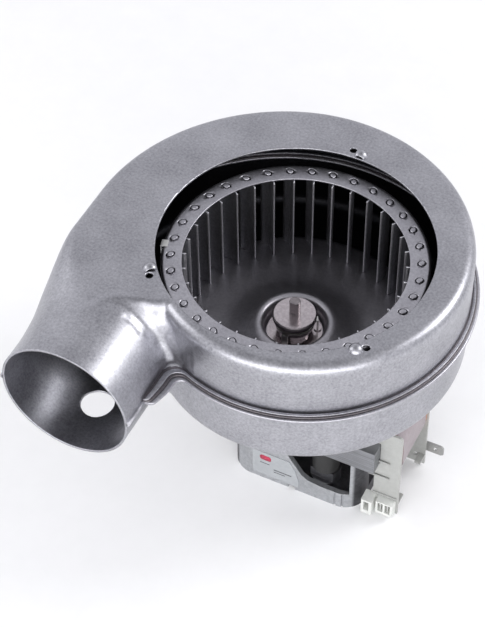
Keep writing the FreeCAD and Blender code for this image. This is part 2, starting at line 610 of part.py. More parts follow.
def lower_shield():
    """Die-cast tub under the core: open vent corners, four bosses and the lower bush's seat."""
    z0, z1 = SHIELD_BOTTOM_Z, CORE_BOTTOM_Z
    w, x0, x1 = MOTOR_HALF_W, MOTOR_LEFT_X, SHIELD_RIGHT_X
    t = SHIELD_WALL
    outer = rounded_block(x0, x1, -w, w, z0, z1, MOTOR_CORNER_R)
    room = (x0 + t, x1 - t, -w + t, w - t)
    upper_room = rounded_block(*room, FLOOR_TOP_Z, z1 + 1, MOTOR_CORNER_R - t)
    lower_room = rounded_block(*room, z0 - 1, FLOOR_TOP_Z - FLOOR_T, MOTOR_CORNER_R - t)
    body = outer.cut([upper_room, lower_room])
    bosses = [cyl(BOSS_R, FLOOR_TOP_Z - 0.5, BOSS_TOP_Z, x, y) for x, y in screw_places()]
    seat_boss = cyl(9.0, FLOOR_TOP_Z - FLOOR_T - 3.0, FLOOR_TOP_Z + 5.0)
    ribs = [box(-17, 31, -1, 1, FLOOR_TOP_Z - FLOOR_T - 2.5, FLOOR_TOP_Z - FLOOR_T + 0.5),
            box(-1, 1, -20, 20, FLOOR_TOP_Z - FLOOR_T - 2.5, FLOOR_TOP_Z - FLOOR_T + 0.5)]
    inside = rounded_block(x0 + 0.5, x1 - 0.5, -w + 0.5, w - 0.5, z0, z1, MOTOR_CORNER_R - 0.5)
    body = body.fuse([part.common(inside) for part in bosses + [seat_boss] + ribs])
    vent = [(25.0, -128.6), (19.0, -127.8), (15.8, -125.6), (9.6, -116.0), (3.5, z1 + 1), (39.6, z1 + 1),
            (39.6, -128.6)]
    cuts = []
    for side in (-1, 1):
        cuts.append(side_prism(vent, *sorted((side * VENT_IN_Y, side * 40))))
        grooves = [box(gx, gx + 1.1, *sorted((side * (w - gd), side * 40)), z0 - 1, -129.4)
                   for gx, gd in ((32.6, 0.6), (36.2, 1.1))]
        cuts += grooves
        cuts.append(box(9.2, 12.8, *sorted((side * 20, side * 40)), z0 - 1, z0 + 2.0))
    cuts.append(box(x1 - t - 1, x1 + 1, -12.0, 12.0, FLOOR_TOP_Z, z1 + 1))
    cuts.append(box(x1 - t - 8, x1 + 1, -CHEEK_Y - 0.6, CHEEK_Y + 0.6, COIL_Z - CHEEK_HALF - 1.5, z1 + 1))
    cuts.append(cyl(BUSH_R + 0.02, LOWER_BUSH_Z, FLOOR_TOP_Z + 6))
    cuts.append(cyl(SHAFT_R + 1.0, z0 - 1, FLOOR_TOP_Z + 6))
    cuts += [cyl(SCREW_HOLE_R, z0 - 1, z1, x, y) for x, y in screw_places()]
    return body.cut(cuts)


def bearing_retainers():
    """Pressed spring washers that hold both bushes in their seats."""
    upper = tube(3.4, BUSH_R - 0.1, UPPER_BUSH_Z + BUSH_H, UPPER_BUSH_Z + BUSH_H + 0.4)
    lower = tube(3.4, BUSH_R - 0.1, LOWER_BUSH_Z + BUSH_H, LOWER_BUSH_Z + BUSH_H + 0.4)
    teeth = [0, 60, 120, 180, 240, 300]
    notch = ring_of(box(4.6, 8, -0.5, 0.5, -150, -60), teeth)
    return Part.makeCompound([upper.cut(notch), lower.cut(notch)])


def rating_label():
    return box(-9.5, 14.5, -MOTOR_HALF_W - 0.2, -MOTOR_HALF_W, -135.6, -119.0).cut(
        side_prism([(16, -137), (16, -118), (9.0, -118), (12.5, -124.0)], -30, -20))


def earth_tab():
    """A tab under the shield's floor for the earth wire."""
    under = FLOOR_TOP_Z - FLOOR_T
    foot = box(32.0, 39.0, -4.0, 4.0, under - 0.8, under)
    blade = box(38.2, 39.0, -3.15, 3.15, under - 4.6, under)
    return foot.fuse(blade).removeSplitter()


# ---------------------------------------------------------------- rotor
def motor_shaft():
    shaft = cyl(SHAFT_R, SHAFT_END_Z, SHAFT_TOP_Z)
    ends = [e for e in shaft.Edges if e.BoundBox.ZLength < 1e-6]
    shaft = shaft.makeFillet(0.4, ends)
    flat = box(-3, 3, -SHAFT_R - 1, -SHAFT_R + 0.5, SHAFT_TOP_Z - 7.0, SHAFT_TOP_Z + 1)
    return shaft.cut(flat)


def rotor_core():
    core = tube(SHAFT_R, ROTOR_R, CORE_BOTTOM_Z, CORE_TOP_Z)
    slot = cyl(0.9, CORE_BOTTOM_Z - 1, CORE_TOP_Z + 1, ROTOR_R - 0.2)
    return core.cut(ring_of(slot, [20 * i for i in range(18)]))


def rotor_end_rings():
    top = tube(8.0, ROTOR_R - 1.3, CORE_TOP_Z, CORE_TOP_Z + 3.5)
    bottom = tube(8.0, ROTOR_R - 1.3, CORE_BOTTOM_Z - 3.5, CORE_BOTTOM_Z)
    vane = box(8.6, 11.4, -0.7, 0.7, CORE_BOTTOM_Z - 6.5, CORE_BOTTOM_Z - 3.0)
    return Part.makeCompound([top, fused([bottom] + ring_of(vane, [60 * i for i in range(6)]))])


def thrust_washers():
    upper = tube(SHAFT_R + 0.05, 4.6, UPPER_BUSH_Z - 0.7, UPPER_BUSH_Z - 0.1)
    lower = tube(SHAFT_R + 0.05, 4.6, LOWER_BUSH_Z + BUSH_H + 0.5, LOWER_BUSH_Z + BUSH_H + 1.1)
    return Part.makeCompound([upper, lower])


def retaining_clips():
    """Open spring clips on the shaft beside the thrust washers."""
    clips = []
    for z in (UPPER_BUSH_Z - 1.5, LOWER_BUSH_Z + BUSH_H + 1.2):
        clips.append(tube(SHAFT_R, 4.3, z, z + 0.7).cut(box(0, 6, -1.6, 1.6, z - 1, z + 2)))
    return Part.makeCompound(clips)


def cooling_fan():
    """A small pressed fan that blows cool air between motor and scroll."""
    z0 = BRACKET_Z - 5.2
    hub = tube(SHAFT_R, 5.0, z0 - 1.6, z0 + 4.0)
    disc = tube(4.5, 9.0, z0, z0 + 0.8)
    blade = box(8.2, 13.2, -3.0, 3.0, -0.4, 0.4)
    blade.rotate(Vector(10, 0, 0), Vector(1, 0, 0), 32)
    blade.translate(Vector(0, 0, z0 + 0.4))
    return fused([hub, disc] + ring_of(blade, [45 * i for i in range(8)]))


def wheel_hub():
    """A turned steel hub: top flange, neck and the lower flange that carries the backplate."""
    under, seat = CUP_FLOOR_Z, CUP_FLOOR_Z + WHEEL_SHEET
    top = HUB_TOP_Z
    head = [(SHAFT_R, top), (HUB_R - 0.5, top), (HUB_R, top - 0.5), (HUB_R, top - 2.6),
            (HUB_R - 0.4, top - 3.0)]
    neck = [(7.4, top - 3.0), (7.4, top - 5.6), (8.6, top - 5.6), (8.6, top - 7.6), (7.0, top - 8.0)]
    flange = [(7.0, seat + FLANGE_T), (12.6, seat + FLANGE_T), (12.6, seat), (6.2, seat)]
    spigot = [(6.2, under - 1.2), (SHAFT_R, under - 1.2)]
    hub = turned_part(head + neck + flange + spigot)
    return hub.cut(ring_of(cyl(HUB_RIVET_HOLE_R, -70, HUB_TOP_Z - 9, HUB_RIVET_PCD_R), HUB_RIVET_ANGLES))


def hub_clip():
    """A spring ring in the hub's groove with three upright fingers."""
    z0 = HUB_TOP_Z - 5.5
    ring = tube(7.45, 9.0, z0, z0 + 0.8)
    finger = box(8.6, 10.6, -1.4, 1.4, z0, z0 + 0.8)
    upright = box(10.0, 10.6, -1.4, 1.4, z0 - 5.0, z0 + 0.8)
    clip = fused([ring] + ring_of(finger, HUB_RIVET_ANGLES) + ring_of(upright, HUB_RIVET_ANGLES))
    return clip.cut(spun(box(6, 12, -0.8, 0.8, z0 - 1, z0 + 3), 90))


def wheel_backplate():
    """Pressed disc whose middle rises, rolls over and drops into the hub's cup."""
    mid = PLATE_Z - WHEEL_SHEET / 2
    cup = CUP_FLOOR_Z + WHEEL_SHEET / 2
    path = [(RING_OUT_R - 0.4, mid), (33.0, mid), (21.0, mid + 4.6), (16.0, mid + 6.6), (13.9, mid + 3.0),
            (13.6, cup), (6.3, cup)]
    plate = pressed_part(path, (16.0, 12.0, 1.6, 5.0, 0.8), WHEEL_SHEET)
    slots = [spun(tab_box(3.0, 0.9, PLATE_Z - 2, PLATE_Z + 1), angle) for angle in blade_angles()]
    rivet_holes = ring_of(cyl(HUB_RIVET_HOLE_R, PLATE_Z - 5, PLATE_Z, HUB_RIVET_PCD_R), HUB_RIVET_ANGLES)
    return plate.cut(slots + rivet_holes)


def hub_rivets():
    top = CUP_FLOOR_Z + WHEEL_SHEET + FLANGE_T
    shank = cyl(HUB_RIVET_R, CUP_FLOOR_Z, top, HUB_RIVET_PCD_R)
    heads = [cyl(1.8, z, z + 0.7, HUB_RIVET_PCD_R) for z in (top, CUP_FLOOR_Z - 0.7)]
    return Part.makeCompound(ring_of(fused([shank] + heads), HUB_RIVET_ANGLES))


def blade_angles():
    return [360.0 / BLADES * i for i in range(BLADES)]


def blade_arc():
    """Centre, radius and end angles of a blade's curved section."""
    root = Vector(BLADE_IN_R, 0, 0)
    lean = math.radians(BLADE_LEAN)
    tip = Vector(BLADE_OUT_R * math.cos(lean), BLADE_OUT_R * math.sin(lean), 0)
    chord = tip - root
    back = Vector(chord.y, -chord.x, 0).normalize()
    radius = chord.Length ** 2 / (8 * BLADE_SAG) + BLADE_SAG / 2
    centre = (root + tip) * 0.5 - back * (radius - BLADE_SAG)
    ends = [math.atan2(p.y - centre.y, p.x - centre.x) for p in (root, tip)]
    return centre, radius, ends


def tab_frame():
    """The point of the section where the rivet tab stands, and the section's direction there."""
    centre, radius, (a0, a1) = blade_arc()
    angle = a0 + (a1 - a0) * TAB_AT
    point = centre + Vector(math.cos(angle), math.sin(angle), 0) * radius
    return point, math.degrees(angle) + 90


def at_tab(shape):
    point, direction = tab_frame()
    placed = shape.copy()
    placed.rotate(Vector(0, 0, 0), Vector(0, 0, 1), direction)
    placed.translate(Vector(point.x, point.y, 0))
    return placed


def tab_box(length, width, z0, z1):
    return at_tab(box(-length / 2, length / 2, -width / 2, width / 2, z0, z1))


def one_blade():
    centre, radius, (a0, a1) = blade_arc()
    z0, z1 = PLATE_Z, RING_Z - WHEEL_SHEET
    half = BLADE_SHEET / 2

    def on(r, a):
        return centre + Vector(math.cos(a), math.sin(a), 0) * r

    middle = (a0 + a1) / 2
    near, far = radius - half, radius + half
    edges = [Part.Arc(on(near, a0), on(near, middle), on(near, a1)).toShape(),
             Part.LineSegment(on(near, a1), on(far, a1)).toShape(),
             Part.Arc(on(far, a1), on(far, middle), on(far, a0)).toShape(),
             Part.LineSegment(on(far, a0), on(near, a0)).toShape()]
    face = Part.Face(Part.Wire(edges))
    face.translate(Vector(0, 0, z0))
    sheet = face.extrude(Vector(0, 0, z1 - z0))
    neck = tab_box(2.4, BLADE_SHEET, z1 - 0.5, RING_Z + 0.1)
    head = Part.makeCylinder(1.65, 0.5, Vector(0, 0, 0))
    squeeze = FreeCAD.Matrix()
    squeeze.A22 = 0.72
    head = at_tab(head.transformGeometry(squeeze))
    head.translate(Vector(0, 0, RING_Z))
    foot = tab_box(2.4, BLADE_SHEET, PLATE_Z - WHEEL_SHEET - 0.5, PLATE_Z + 0.5)
    return fused([sheet, neck, head, foot])


def wheel_blades():
    blade = one_blade()
    return Part.makeCompound([spun(blade, angle) for angle in blade_angles()])


def wheel_top_ring():
    """Flat ring with a turned-down outer edge and a slot for each blade's tab."""
    mid = RING_Z - WHEEL_SHEET / 2
    path = [(RING_IN_R, mid), (RING_OUT_R - WHEEL_SHEET / 2, mid), (RING_OUT_R - WHEEL_SHEET / 2, mid - 2.8)]
    ring = pressed_part(path, (1.2,), WHEEL_SHEET)
    slots = [spun(tab_box(2.8, 0.9, RING_Z - 2, RING_Z + 1), angle) for angle in blade_angles()]
    return ring.cut(slots)


def balance_clip():
    """A small spring clip pushed over the ring's outer edge to balance the wheel."""
    inner, outer = RING_OUT_R + 0.02, RING_OUT_R + 0.52
    wrap = box(inner, outer, -2.0, 2.0, RING_Z - 4.0, RING_Z + 0.52)
    roof = box(RING_OUT_R - 2.6, outer, -2.0, 2.0, RING_Z + 0.02, RING_Z + 0.52)
    return spun(fused([wrap, roof]), 197.0)


# ---------------------------------------------------------------- build
upper_housing, lower_housing = housing_halves()
save("upper_housing", upper_housing)
save("lower_housing", lower_housing)
save("upper_bearing", bush(UPPER_BUSH_Z))
save("lower_bearing", bush(LOWER_BUSH_Z))
for make in (shaft_seal, seal_plate, seal_rivets, mount_grommets, mount_screws, mount_nuts, motor_bracket,
             motor_screws, motor_nuts, upper_spacers, lower_spacers, stator_core, shading_rings, coil_bobbin,
             coil_winding, coil_tape, connector_block, connector_pins, spade_terminal, upper_bearing_bridge,
             lower_shield, bearing_retainers, rating_label, earth_tab, motor_shaft, rotor_core,
             rotor_end_rings, thrust_washers, retaining_clips, cooling_fan, wheel_hub, hub_clip,
             wheel_backplate, hub_rivets, wheel_blades, wheel_top_ring, balance_clip):
    save(make.__name__, make())
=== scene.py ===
import json
import math

import bmesh
import bpy
import numpy as np
from mathutils import Matrix, Vector


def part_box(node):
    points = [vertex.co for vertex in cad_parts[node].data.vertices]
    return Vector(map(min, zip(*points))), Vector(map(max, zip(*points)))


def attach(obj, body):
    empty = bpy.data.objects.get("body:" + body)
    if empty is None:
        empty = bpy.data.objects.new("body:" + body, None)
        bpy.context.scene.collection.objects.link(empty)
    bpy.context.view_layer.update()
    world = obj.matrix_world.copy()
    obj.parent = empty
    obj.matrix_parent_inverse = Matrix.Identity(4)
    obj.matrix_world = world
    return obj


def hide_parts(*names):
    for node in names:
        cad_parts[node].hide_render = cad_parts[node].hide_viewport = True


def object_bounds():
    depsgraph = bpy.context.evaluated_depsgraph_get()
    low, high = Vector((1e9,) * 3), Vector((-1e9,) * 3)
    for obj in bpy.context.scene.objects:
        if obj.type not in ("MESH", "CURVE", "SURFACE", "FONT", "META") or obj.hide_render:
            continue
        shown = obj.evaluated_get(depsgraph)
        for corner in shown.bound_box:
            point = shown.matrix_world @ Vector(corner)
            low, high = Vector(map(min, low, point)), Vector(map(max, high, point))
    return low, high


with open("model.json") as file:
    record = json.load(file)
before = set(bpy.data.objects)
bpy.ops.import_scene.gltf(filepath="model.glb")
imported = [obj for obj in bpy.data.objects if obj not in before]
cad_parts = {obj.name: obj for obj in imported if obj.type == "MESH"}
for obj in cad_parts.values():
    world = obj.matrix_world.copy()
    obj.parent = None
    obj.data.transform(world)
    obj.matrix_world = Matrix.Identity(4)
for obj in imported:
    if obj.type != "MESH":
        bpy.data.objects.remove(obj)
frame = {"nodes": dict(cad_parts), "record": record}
cad_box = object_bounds()

MM = 0.001
MOUNTS = {mount["name"]: mount for mount in frame["record"]["mounts"]}
NODES = frame["nodes"]

# ---------------------------------------------------------------- the housing's measures, in mm
SHEET = 1.0
OUTLET = [value / MM for value in MOUNTS["outlet"]["pos_m"]]
TUBE_X, MOUTH_Y = OUTLET[0], OUTLET[1]
TUBE_R = MOUNTS["outlet"]["dims"]["r_mm"] + SHEET
INLET_R = MOUNTS["inlet"]["dims"]["r_mm"]
HEIGHT = 2 * TUBE_R
OUTER_X = TUBE_X - TUBE_R
INNER_X = TUBE_X + TUBE_R
FLOOR_Z = cad_box[0].z        # metres, as the stage is

SPIRAL_STEP = 4.98            # each 60 degree arc of the scroll is this much larger than the one before
SPIRAL_R = -OUTER_X - SPIRAL_STEP / 2
SPIRAL_ARC = 60.0
SPIRAL_ARCS = 5
CHANNEL_BACK_Y = -4.3         # the scroll's outer side runs straight from here to the mouth
SWELL = 3.0                   # the sheet stands out beyond the spiral's arcs round the back
SWELL_ANGLES = (25.0, 110.0)  # round the shaft, it begins and is full at these angles
SWELL_OUT_ANGLES = (230.0, 190.0)   # and counted the other way round, at these
SWELL_TUBE = (-90.0, -58.0)   # down the channel's outer side, it begins and is full at these y

EDGE_R = 5.2                  # rounding of the scroll's top and bottom edges
INNER_SHOULDER_Y = -51.0      # the edge begins to round off here on the tube's inner side
INNER_SHOULDER_RUN = 12.0     # and is half the height round after this run
OUTER_SHOULDER_Y = -30.0      # the same on the tube's outer side, where it is a long taper
OUTER_SHOULDER_RUN = 44.0
SHOULDER_SIDES = (TUBE_X + 6.0, TUBE_X - 12.0)   # the inner side's rounding turns into the outer side's
TONGUE_R = 7.0                # inside rounding between the scroll and the tube, in plan
TONGUE_ACROSS = (-56.0, -46.0)   # it comes in between these x, these y and these depths under the face
TONGUE_BACK = (-30.0, -45.0)
TONGUE_DEPTH = (0.5, 11.0)
FOLD_SPREAD = 2.2             # twice the square of a fold's spread
OUTSIDE = 1000.0              # a distance that is surely outside
TINY = 1e-3

FIELD_LOW = (OUTER_X - 6.0, MOUTH_Y - 6.0, -HEIGHT - 4.0)   # corners of the grid that is searched
FIELD_HIGH = (98.0, 96.0, 4.0)
CELL = 1.15
SHELL_MERGE, LUG_MERGE = 1e-6, 1e-7   # metres within which a cut joins points
THROUGH = 3.0                 # how far a cutting rod reaches past the sheet
DRAIN_Y = MOUTH_Y + 25.0
DRAIN_R = 7.5
DRAIN_TOP_Z = -HEIGHT + 8.0   # the drain's rod goes through the tube's rounded floor
SHAFT_HOLE_R = 7.0

SEAM_Z = -29.0
HEM_W = 4.3
HEM_SCROLL_W = HEM_W - 0.6
HEM_END_Y = -74.0
# the hem's y and width beside the tube, from its rounded end, and then down the channel's outer side
HEM_TAIL = ((-84.8, 0.9), (-84.3, 3.4), (-83.4, 4.9), (-82.0, 5.4), (-79.5, 6.1), (-77.0, 6.8), (-74.0, 7.2))
HEM_OUTER = ((-50.0, HEM_W), (-66.0, HEM_SCROLL_W), (HEM_END_Y, 1.2))
HEM_TONGUE_W = 7.3            # the hem is wider beside the tube, up to a tight inside corner
HEM_CORNER_R = 3.0
STRIP_CORNER_R = 0.3
CORNER_POINTS, ARC_POINTS = 14, 25
ARC_GAP = 1.0                 # degrees from one arc's last point to the next one's first

LUG_DOME = (63.3, -2.2)       # middle of a lug's dome, before turning to its angle
LUG_DOME_R = 3.4
LUG_DOME_SINK = 1.2
LUG_SHEET = 0.6
LUG_HOLE_X = LUG_DOME[0] + 1.2
LUG_HOLE_Y = 2.0              # the hole sits this far round from the lug's own angle
LUG_IN_X = INLET_R + 0.4
LUG_FACE_Y = -0.05            # the dome is open from here towards the hole
LUG_FOOT_Z = -0.4             # and ends here, inside the cover's sheet
LUG_PLACES = []               # each lug's angle, and the radius of its hole
for lug_hole in [mount for name, mount in sorted(MOUNTS.items()) if name.startswith("lug")]:
    lug_x, lug_y = lug_hole["pos_m"][0] / MM, lug_hole["pos_m"][1] / MM
    around = math.atan2(lug_y, lug_x) - math.asin(LUG_HOLE_Y / math.hypot(lug_x, lug_y))
    LUG_PLACES.append((math.degrees(around), lug_hole["dims"]["r_mm"]))


# ---------------------------------------------------------------- mesh helpers
def linked(name, data):
    made = bpy.data.objects.new(name, data)
    bpy.context.scene.collection.objects.link(made)
    return made


def new_piece(name, mesh, material, body="housing", inner=None):
    """Link a mesh as a piece that rides on a body; inner is the material of its second slot."""
    piece = linked(name, mesh)
    while len(piece.data.materials) < 1 + (inner is not None):
        piece.data.materials.append(None)
    piece.data.materials[0] = material
    if inner is not None:
        piece.data.materials[1] = inner
    for face in piece.data.polygons:
        face.use_smooth = True
    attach(piece, body)
    return piece


def mesh_of(name, points_mm, faces):
    mesh = bpy.data.meshes.new(name)
    mesh.from_pydata([Vector(p) * MM for p in points_mm], [], faces)
    mesh.validate()
    return mesh


def finished(name, shape):
    """The mesh of a bmesh, which is freed."""
    mesh = bpy.data.meshes.new(name)
    shape.to_mesh(mesh)
    shape.free()
    return mesh


def applied(mesh, kind, **settings):
    """The mesh after one modifier."""
    holder = linked("holder", mesh)
    modifier = holder.modifiers.new(kind.lower(), kind)
    for key, value in settings.items():
        setattr(modifier, key, value)
    graph = bpy.context.evaluated_depsgraph_get()
    result = bpy.data.meshes.new_from_object(holder.evaluated_get(graph))
    bpy.data.objects.remove(holder)
    return result


def trim(shape, place_mm, normal, keep_front, merge):
    """Cut a bmesh by a plane and keep what is in front of it, or what is behind it."""
    geometry = shape.verts[:] + shape.edges[:] + shape.faces[:]
    bmesh.ops.bisect_plane(shape, geom=geometry, plane_co=Vector(place_mm) * MM, plane_no=normal, dist=merge,
                           clear_inner=keep_front, clear_outer=not keep_front)


def rod_mesh(radius, z0, z1, x, y, sides=48):
    """A closed rod along Z, used as a cutting tool."""
    tool = bmesh.new()
    place = Matrix.Translation(Vector((x, y, (z0 + z1) / 2)) * MM)
    bmesh.ops.create_cone(tool, cap_ends=True, segments=sides, radius1=radius * MM,
                          radius2=radius * MM, depth=(z1 - z0) * MM, matrix=place)
    return finished("rod", tool)


def joined(name, meshes):
    """One mesh from several that stay apart."""
    both = bmesh.new()
    for mesh in meshes:
        both.from_mesh(mesh)
    return finished(name, both)


def drilled(mesh, rods):
    """The mesh with all the rods cut out of it; the rods don't touch each other."""
    tool = linked("tool", joined("tool", rods))
    mesh = applied(mesh, "BOOLEAN", operation="DIFFERENCE", object=tool, solver="EXACT")
    bpy.data.objects.remove(tool)
    return mesh


def placed(mesh, matrix):
    """A copy of the mesh, moved by a matrix in millimetres."""
    copy = mesh.copy()
    copy.transform(Matrix.Scale(MM, 4) @ matrix @ Matrix.Scale(1 / MM, 4))
    return copy


def turned_by(degrees):
    return Matrix.Rotation(math.radians(degrees), 4, "Z")


def outward(mesh):
    """The same mesh with its faces turned outwards."""
    shell = bmesh.new()
    shell.from_mesh(mesh)
    bmesh.ops.recalc_face_normals(shell, faces=shell.faces)
    shell.to_mesh(mesh)
    shell.free()
    return mesh


def band(a, b, count):
    """Faces between two rings of points, given the numbers of the rings' first points."""
    return [(a + j, a + (j + 1) % count, b + (j + 1) % count, b + j) for j in range(count)]


def lofted(name, rings):
    """A solid through rings of as many points each, closed at both ends."""
    count = len(rings[0])
    points = [point for ring in rings for point in ring]
    faces = [tuple(reversed(range(count))), tuple(range(len(points) - count, len(points)))]
    for i in range(len(rings) - 1):
        faces += band(i * count, (i + 1) * count, count)
    return outward(mesh_of(name, points, faces))


def lathe(name, profile, steps=144):
    """A solid of revolution about the shaft from a closed (radius, z) profile."""
    points, faces, count = [], [], len(profile)
    for i in range(steps):
        angle = 2 * math.pi * i / steps
        points += [(r * math.cos(angle), r * math.sin(angle), z) for r, z in profile]
        faces += band(i * count, (i + 1) % steps * count, count)
    return outward(mesh_of(name, points, faces))


def swept(name, path, section):
    """A solid strip: section (side, up) points carried along a path of (point, side direction)."""
    return lofted(name, [[(point[0] + side[0] * s, point[1] + side[1] * s, u) for s, u in section]
                         for point, side in path])


def rounded_section(s0, s1, u0, u1, corner):
    """A rectangle of (side, up) points with its corners rounded."""
    section = []
    for cx, cy, begin in ((s1 - corner, u1 - corner, 0), (s0 + corner, u1 - corner, 90),
                          (s0 + corner, u0 + corner, 180), (s1 - corner, u0 + corner, 270)):
        for angle in np.radians(begin + np.arange(0, 91, 30)):
            section.append((cx + corner * math.cos(angle), cy + corner * math.sin(angle)))
    return section


def offset_profile(line, thickness):
    """A closed profile: an open (radius, z) line and its copy, moved across by the sheet's thickness."""
    line = np.array(line, float)
    slope = np.gradient(line, axis=0)
    normal = np.stack([slope[:, 1], -slope[:, 0]], 1) / np.hypot(slope[:, 0], slope[:, 1])[:, None]
    return [tuple(p) for p in line] + [tuple(p) for p in (line + normal * thickness)[::-1]]


def smooth_line(points, per_span=8):
    """A Catmull-Rom curve through points of any dimension."""
    points = np.array(points, float)
    padded = np.vstack([2 * points[0] - points[1], points, 2 * points[-1] - points[-2]])
    made = []
    for i in range(len(points) - 1):
        p0, p1, p2, p3 = padded[i:i + 4]
        for t in np.arange(per_span) / per_span:
            made.append(0.5 * (2 * p1 + (p2 - p0) * t + (2 * p0 - 5 * p1 + 4 * p2 - p3) * t ** 2
                               + (3 * p1 - p0 - 3 * p2 + p3) * t ** 3))
    made.append(points[-1])
    return np.array(made)


# ---------------------------------------------------------------- the scroll as a distance field
def spiral_arc(start):
    """Centre and radius of the scroll's arc whose normals begin at start degrees."""
    steps_before_last = (180.0 - SPIRAL_ARC - start) / SPIRAL_ARC
    direction = math.radians(start + 2 * SPIRAL_ARC)
    centre = (SPIRAL_STEP * math.cos(direction), SPIRAL_STEP * math.sin(direction))
    return centre, SPIRAL_R - SPIRAL_STEP * steps_before_last


def smooth_step(low, high, value):
    t = np.clip((value - low) / (high - low), 0, 1)
    return t * t * (3 - 2 * t)


def spiral_distance(x, y):
    """Signed distance in plan to the scroll's spiral outline."""
    (first_x, first_y), first_r = spiral_arc(-2 * SPIRAL_ARC)
    spiral = np.hypot(x - first_x, y - first_y) - first_r
    for i in range(1, SPIRAL_ARCS):
        start = (i - 2) * SPIRAL_ARC
        (cx, cy), radius = spiral_arc(start)
        ahead = (np.degrees(np.arctan2(y - cy, x - cx)) - start) % 360
        spiral = np.where(ahead <= SPIRAL_ARC, np.hypot(x - cx, y - cy) - radius, spiral)
    return spiral


def back_swell(x, y):
    """How far the sheet stands out beyond the spiral: nothing in front, all of it round the back."""
    around = np.degrees(np.arctan2(y, x)) % 360
    return SWELL * smooth_step(*SWELL_ANGLES, around) * smooth_step(*SWELL_OUT_ANGLES, around)


def channel_distance(x, y):
    """Signed distance in plan to the outlet channel, its outer side tapering down to the mouth."""
    taper = SWELL * smooth_step(*SWELL_TUBE, y)
    return np.where(y < CHANNEL_BACK_Y, np.maximum(x - INNER_X, OUTER_X - taper - x), OUTSIDE)


def edge_radius(x, y):
    """Rounding of the channel's top and bottom edges: small by the scroll, half the height on the tube."""
    outer = smooth_step(*SHOULDER_SIDES, x)
    begin = INNER_SHOULDER_Y + (OUTER_SHOULDER_Y - INNER_SHOULDER_Y) * outer
    length = INNER_SHOULDER_RUN + (OUTER_SHOULDER_RUN - INNER_SHOULDER_RUN) * outer
    return EDGE_R + (TUBE_R - EDGE_R) * smooth_step(begin, begin - length, y)


def slab_distance(plan, z, radius):
    """Signed distance to a slab as high as the housing, its edges rounded."""
    side = plan + radius
    up = np.abs(z + TUBE_R) - TUBE_R + radius
    return np.minimum(np.maximum(side, up), 0) + np.hypot(np.maximum(side, 0), np.maximum(up, 0)) - radius


# lumps of the crumpled sheet where the tube leaves the cover: x, y, z, height, reach
LUMPS = ((-37.1, -57.2, -2.5, 0.55, 1.8), (-42.7, -58.8, -1.4, -0.55, 1.9), (-35.6, -59.8, -7.7, 0.5, 1.8),
         (-33.2, -63.1, -16.0, -0.7, 2.6), (-28.3, -61.4, -25.6, 0.5, 2.0), (-63.4, -66.1, 0.0, -0.4, 1.3),
         (-40.0, -57.0, -0.8, 0.3, 1.8), (-74.0, -60.0, -0.3, 0.2, 5.0), (-58.0, -48.0, 0.0, -0.15, 5.0))
# folds along short lines, with a height: sharp dents on the tube's shoulder, soft ridges in the valley
FOLDS = ((((-46.8, -65.7, -3.2), (-44.0, -65.5, -4.9), (-40.1, -66.4, -7.9)), -0.45),
         (((-44.1, -62.4, -3.8), (-40.1, -63.2, -7.2), (-36.2, -65.6, -12.2)), -0.5),
         (((-29.9, -60.5, -14.2), (-25.4, -61.1, -23.7)), 0.55),
         (((-21.0, -62.8, -10.0), (-19.6, -63.4, -24.0)), 0.3),
         (((-16.6, -65.0, -8.0), (-16.4, -65.0, -27.0)), 0.22),
         (((-17.4, -64.8, -31.0), (-17.2, -64.8, -50.0)), 0.3),
         (((-12.6, -66.5, -31.0), (-12.4, -66.5, -52.0)), 0.3),
         (((-63.6, -72.4, -0.2), (-60.6, -66.0, 0.0), (-57.0, -61.2, 0.0), (-50.0, -57.5, 0.0)), 0.3))


def crumple(x, y, z):
    """How far the sheet stands out of its plain shape."""
    out = np.zeros_like(x)
    for cx, cy, cz, height, reach in LUMPS:
        out += height * np.exp(-((x - cx) ** 2 + (y - cy) ** 2 + (z - cz) ** 2) / (2 * reach ** 2))
    for places, height in FOLDS:
        gap = np.full_like(x, OUTSIDE)
        for first, second in zip(places, places[1:]):
            way = np.subtract(second, first)
            t = ((x - first[0]) * way[0] + (y - first[1]) * way[1] + (z - first[2]) * way[2]) / (way @ way)
            t = np.clip(t, 0, 1)
            gap = np.minimum(gap, (x - first[0] - t * way[0]) ** 2 + (y - first[1] - t * way[1]) ** 2
                             + (z - first[2] - t * way[2]) ** 2)
        out += height * np.exp(-gap / FOLD_SPREAD)
    return out


def shell_distance(x, y, z):
    """Signed distance to the outside of the whole housing."""
    return plain_distance(x, y, z) - crumple(x, y, z)


def plain_distance(x, y, z):
    """The same without its crumples: the scroll and its outlet channel, with a fillet in the tongue."""
    scroll = slab_distance(spiral_distance(x, y) - back_swell(x, y), z, EDGE_R)
    channel = slab_distance(channel_distance(x, y), z, edge_radius(x, y))
    at_tongue = smooth_step(*TONGUE_ACROSS, x) * smooth_step(*TONGUE_BACK, y)
    depth = np.minimum(-z, z + HEIGHT)
    blend = TONGUE_R * at_tongue * smooth_step(*TONGUE_DEPTH, depth) + TINY
    near = np.hypot(np.maximum(blend - scroll, 0), np.maximum(blend - channel, 0))
    return np.maximum(blend, np.minimum(scroll, channel)) - near


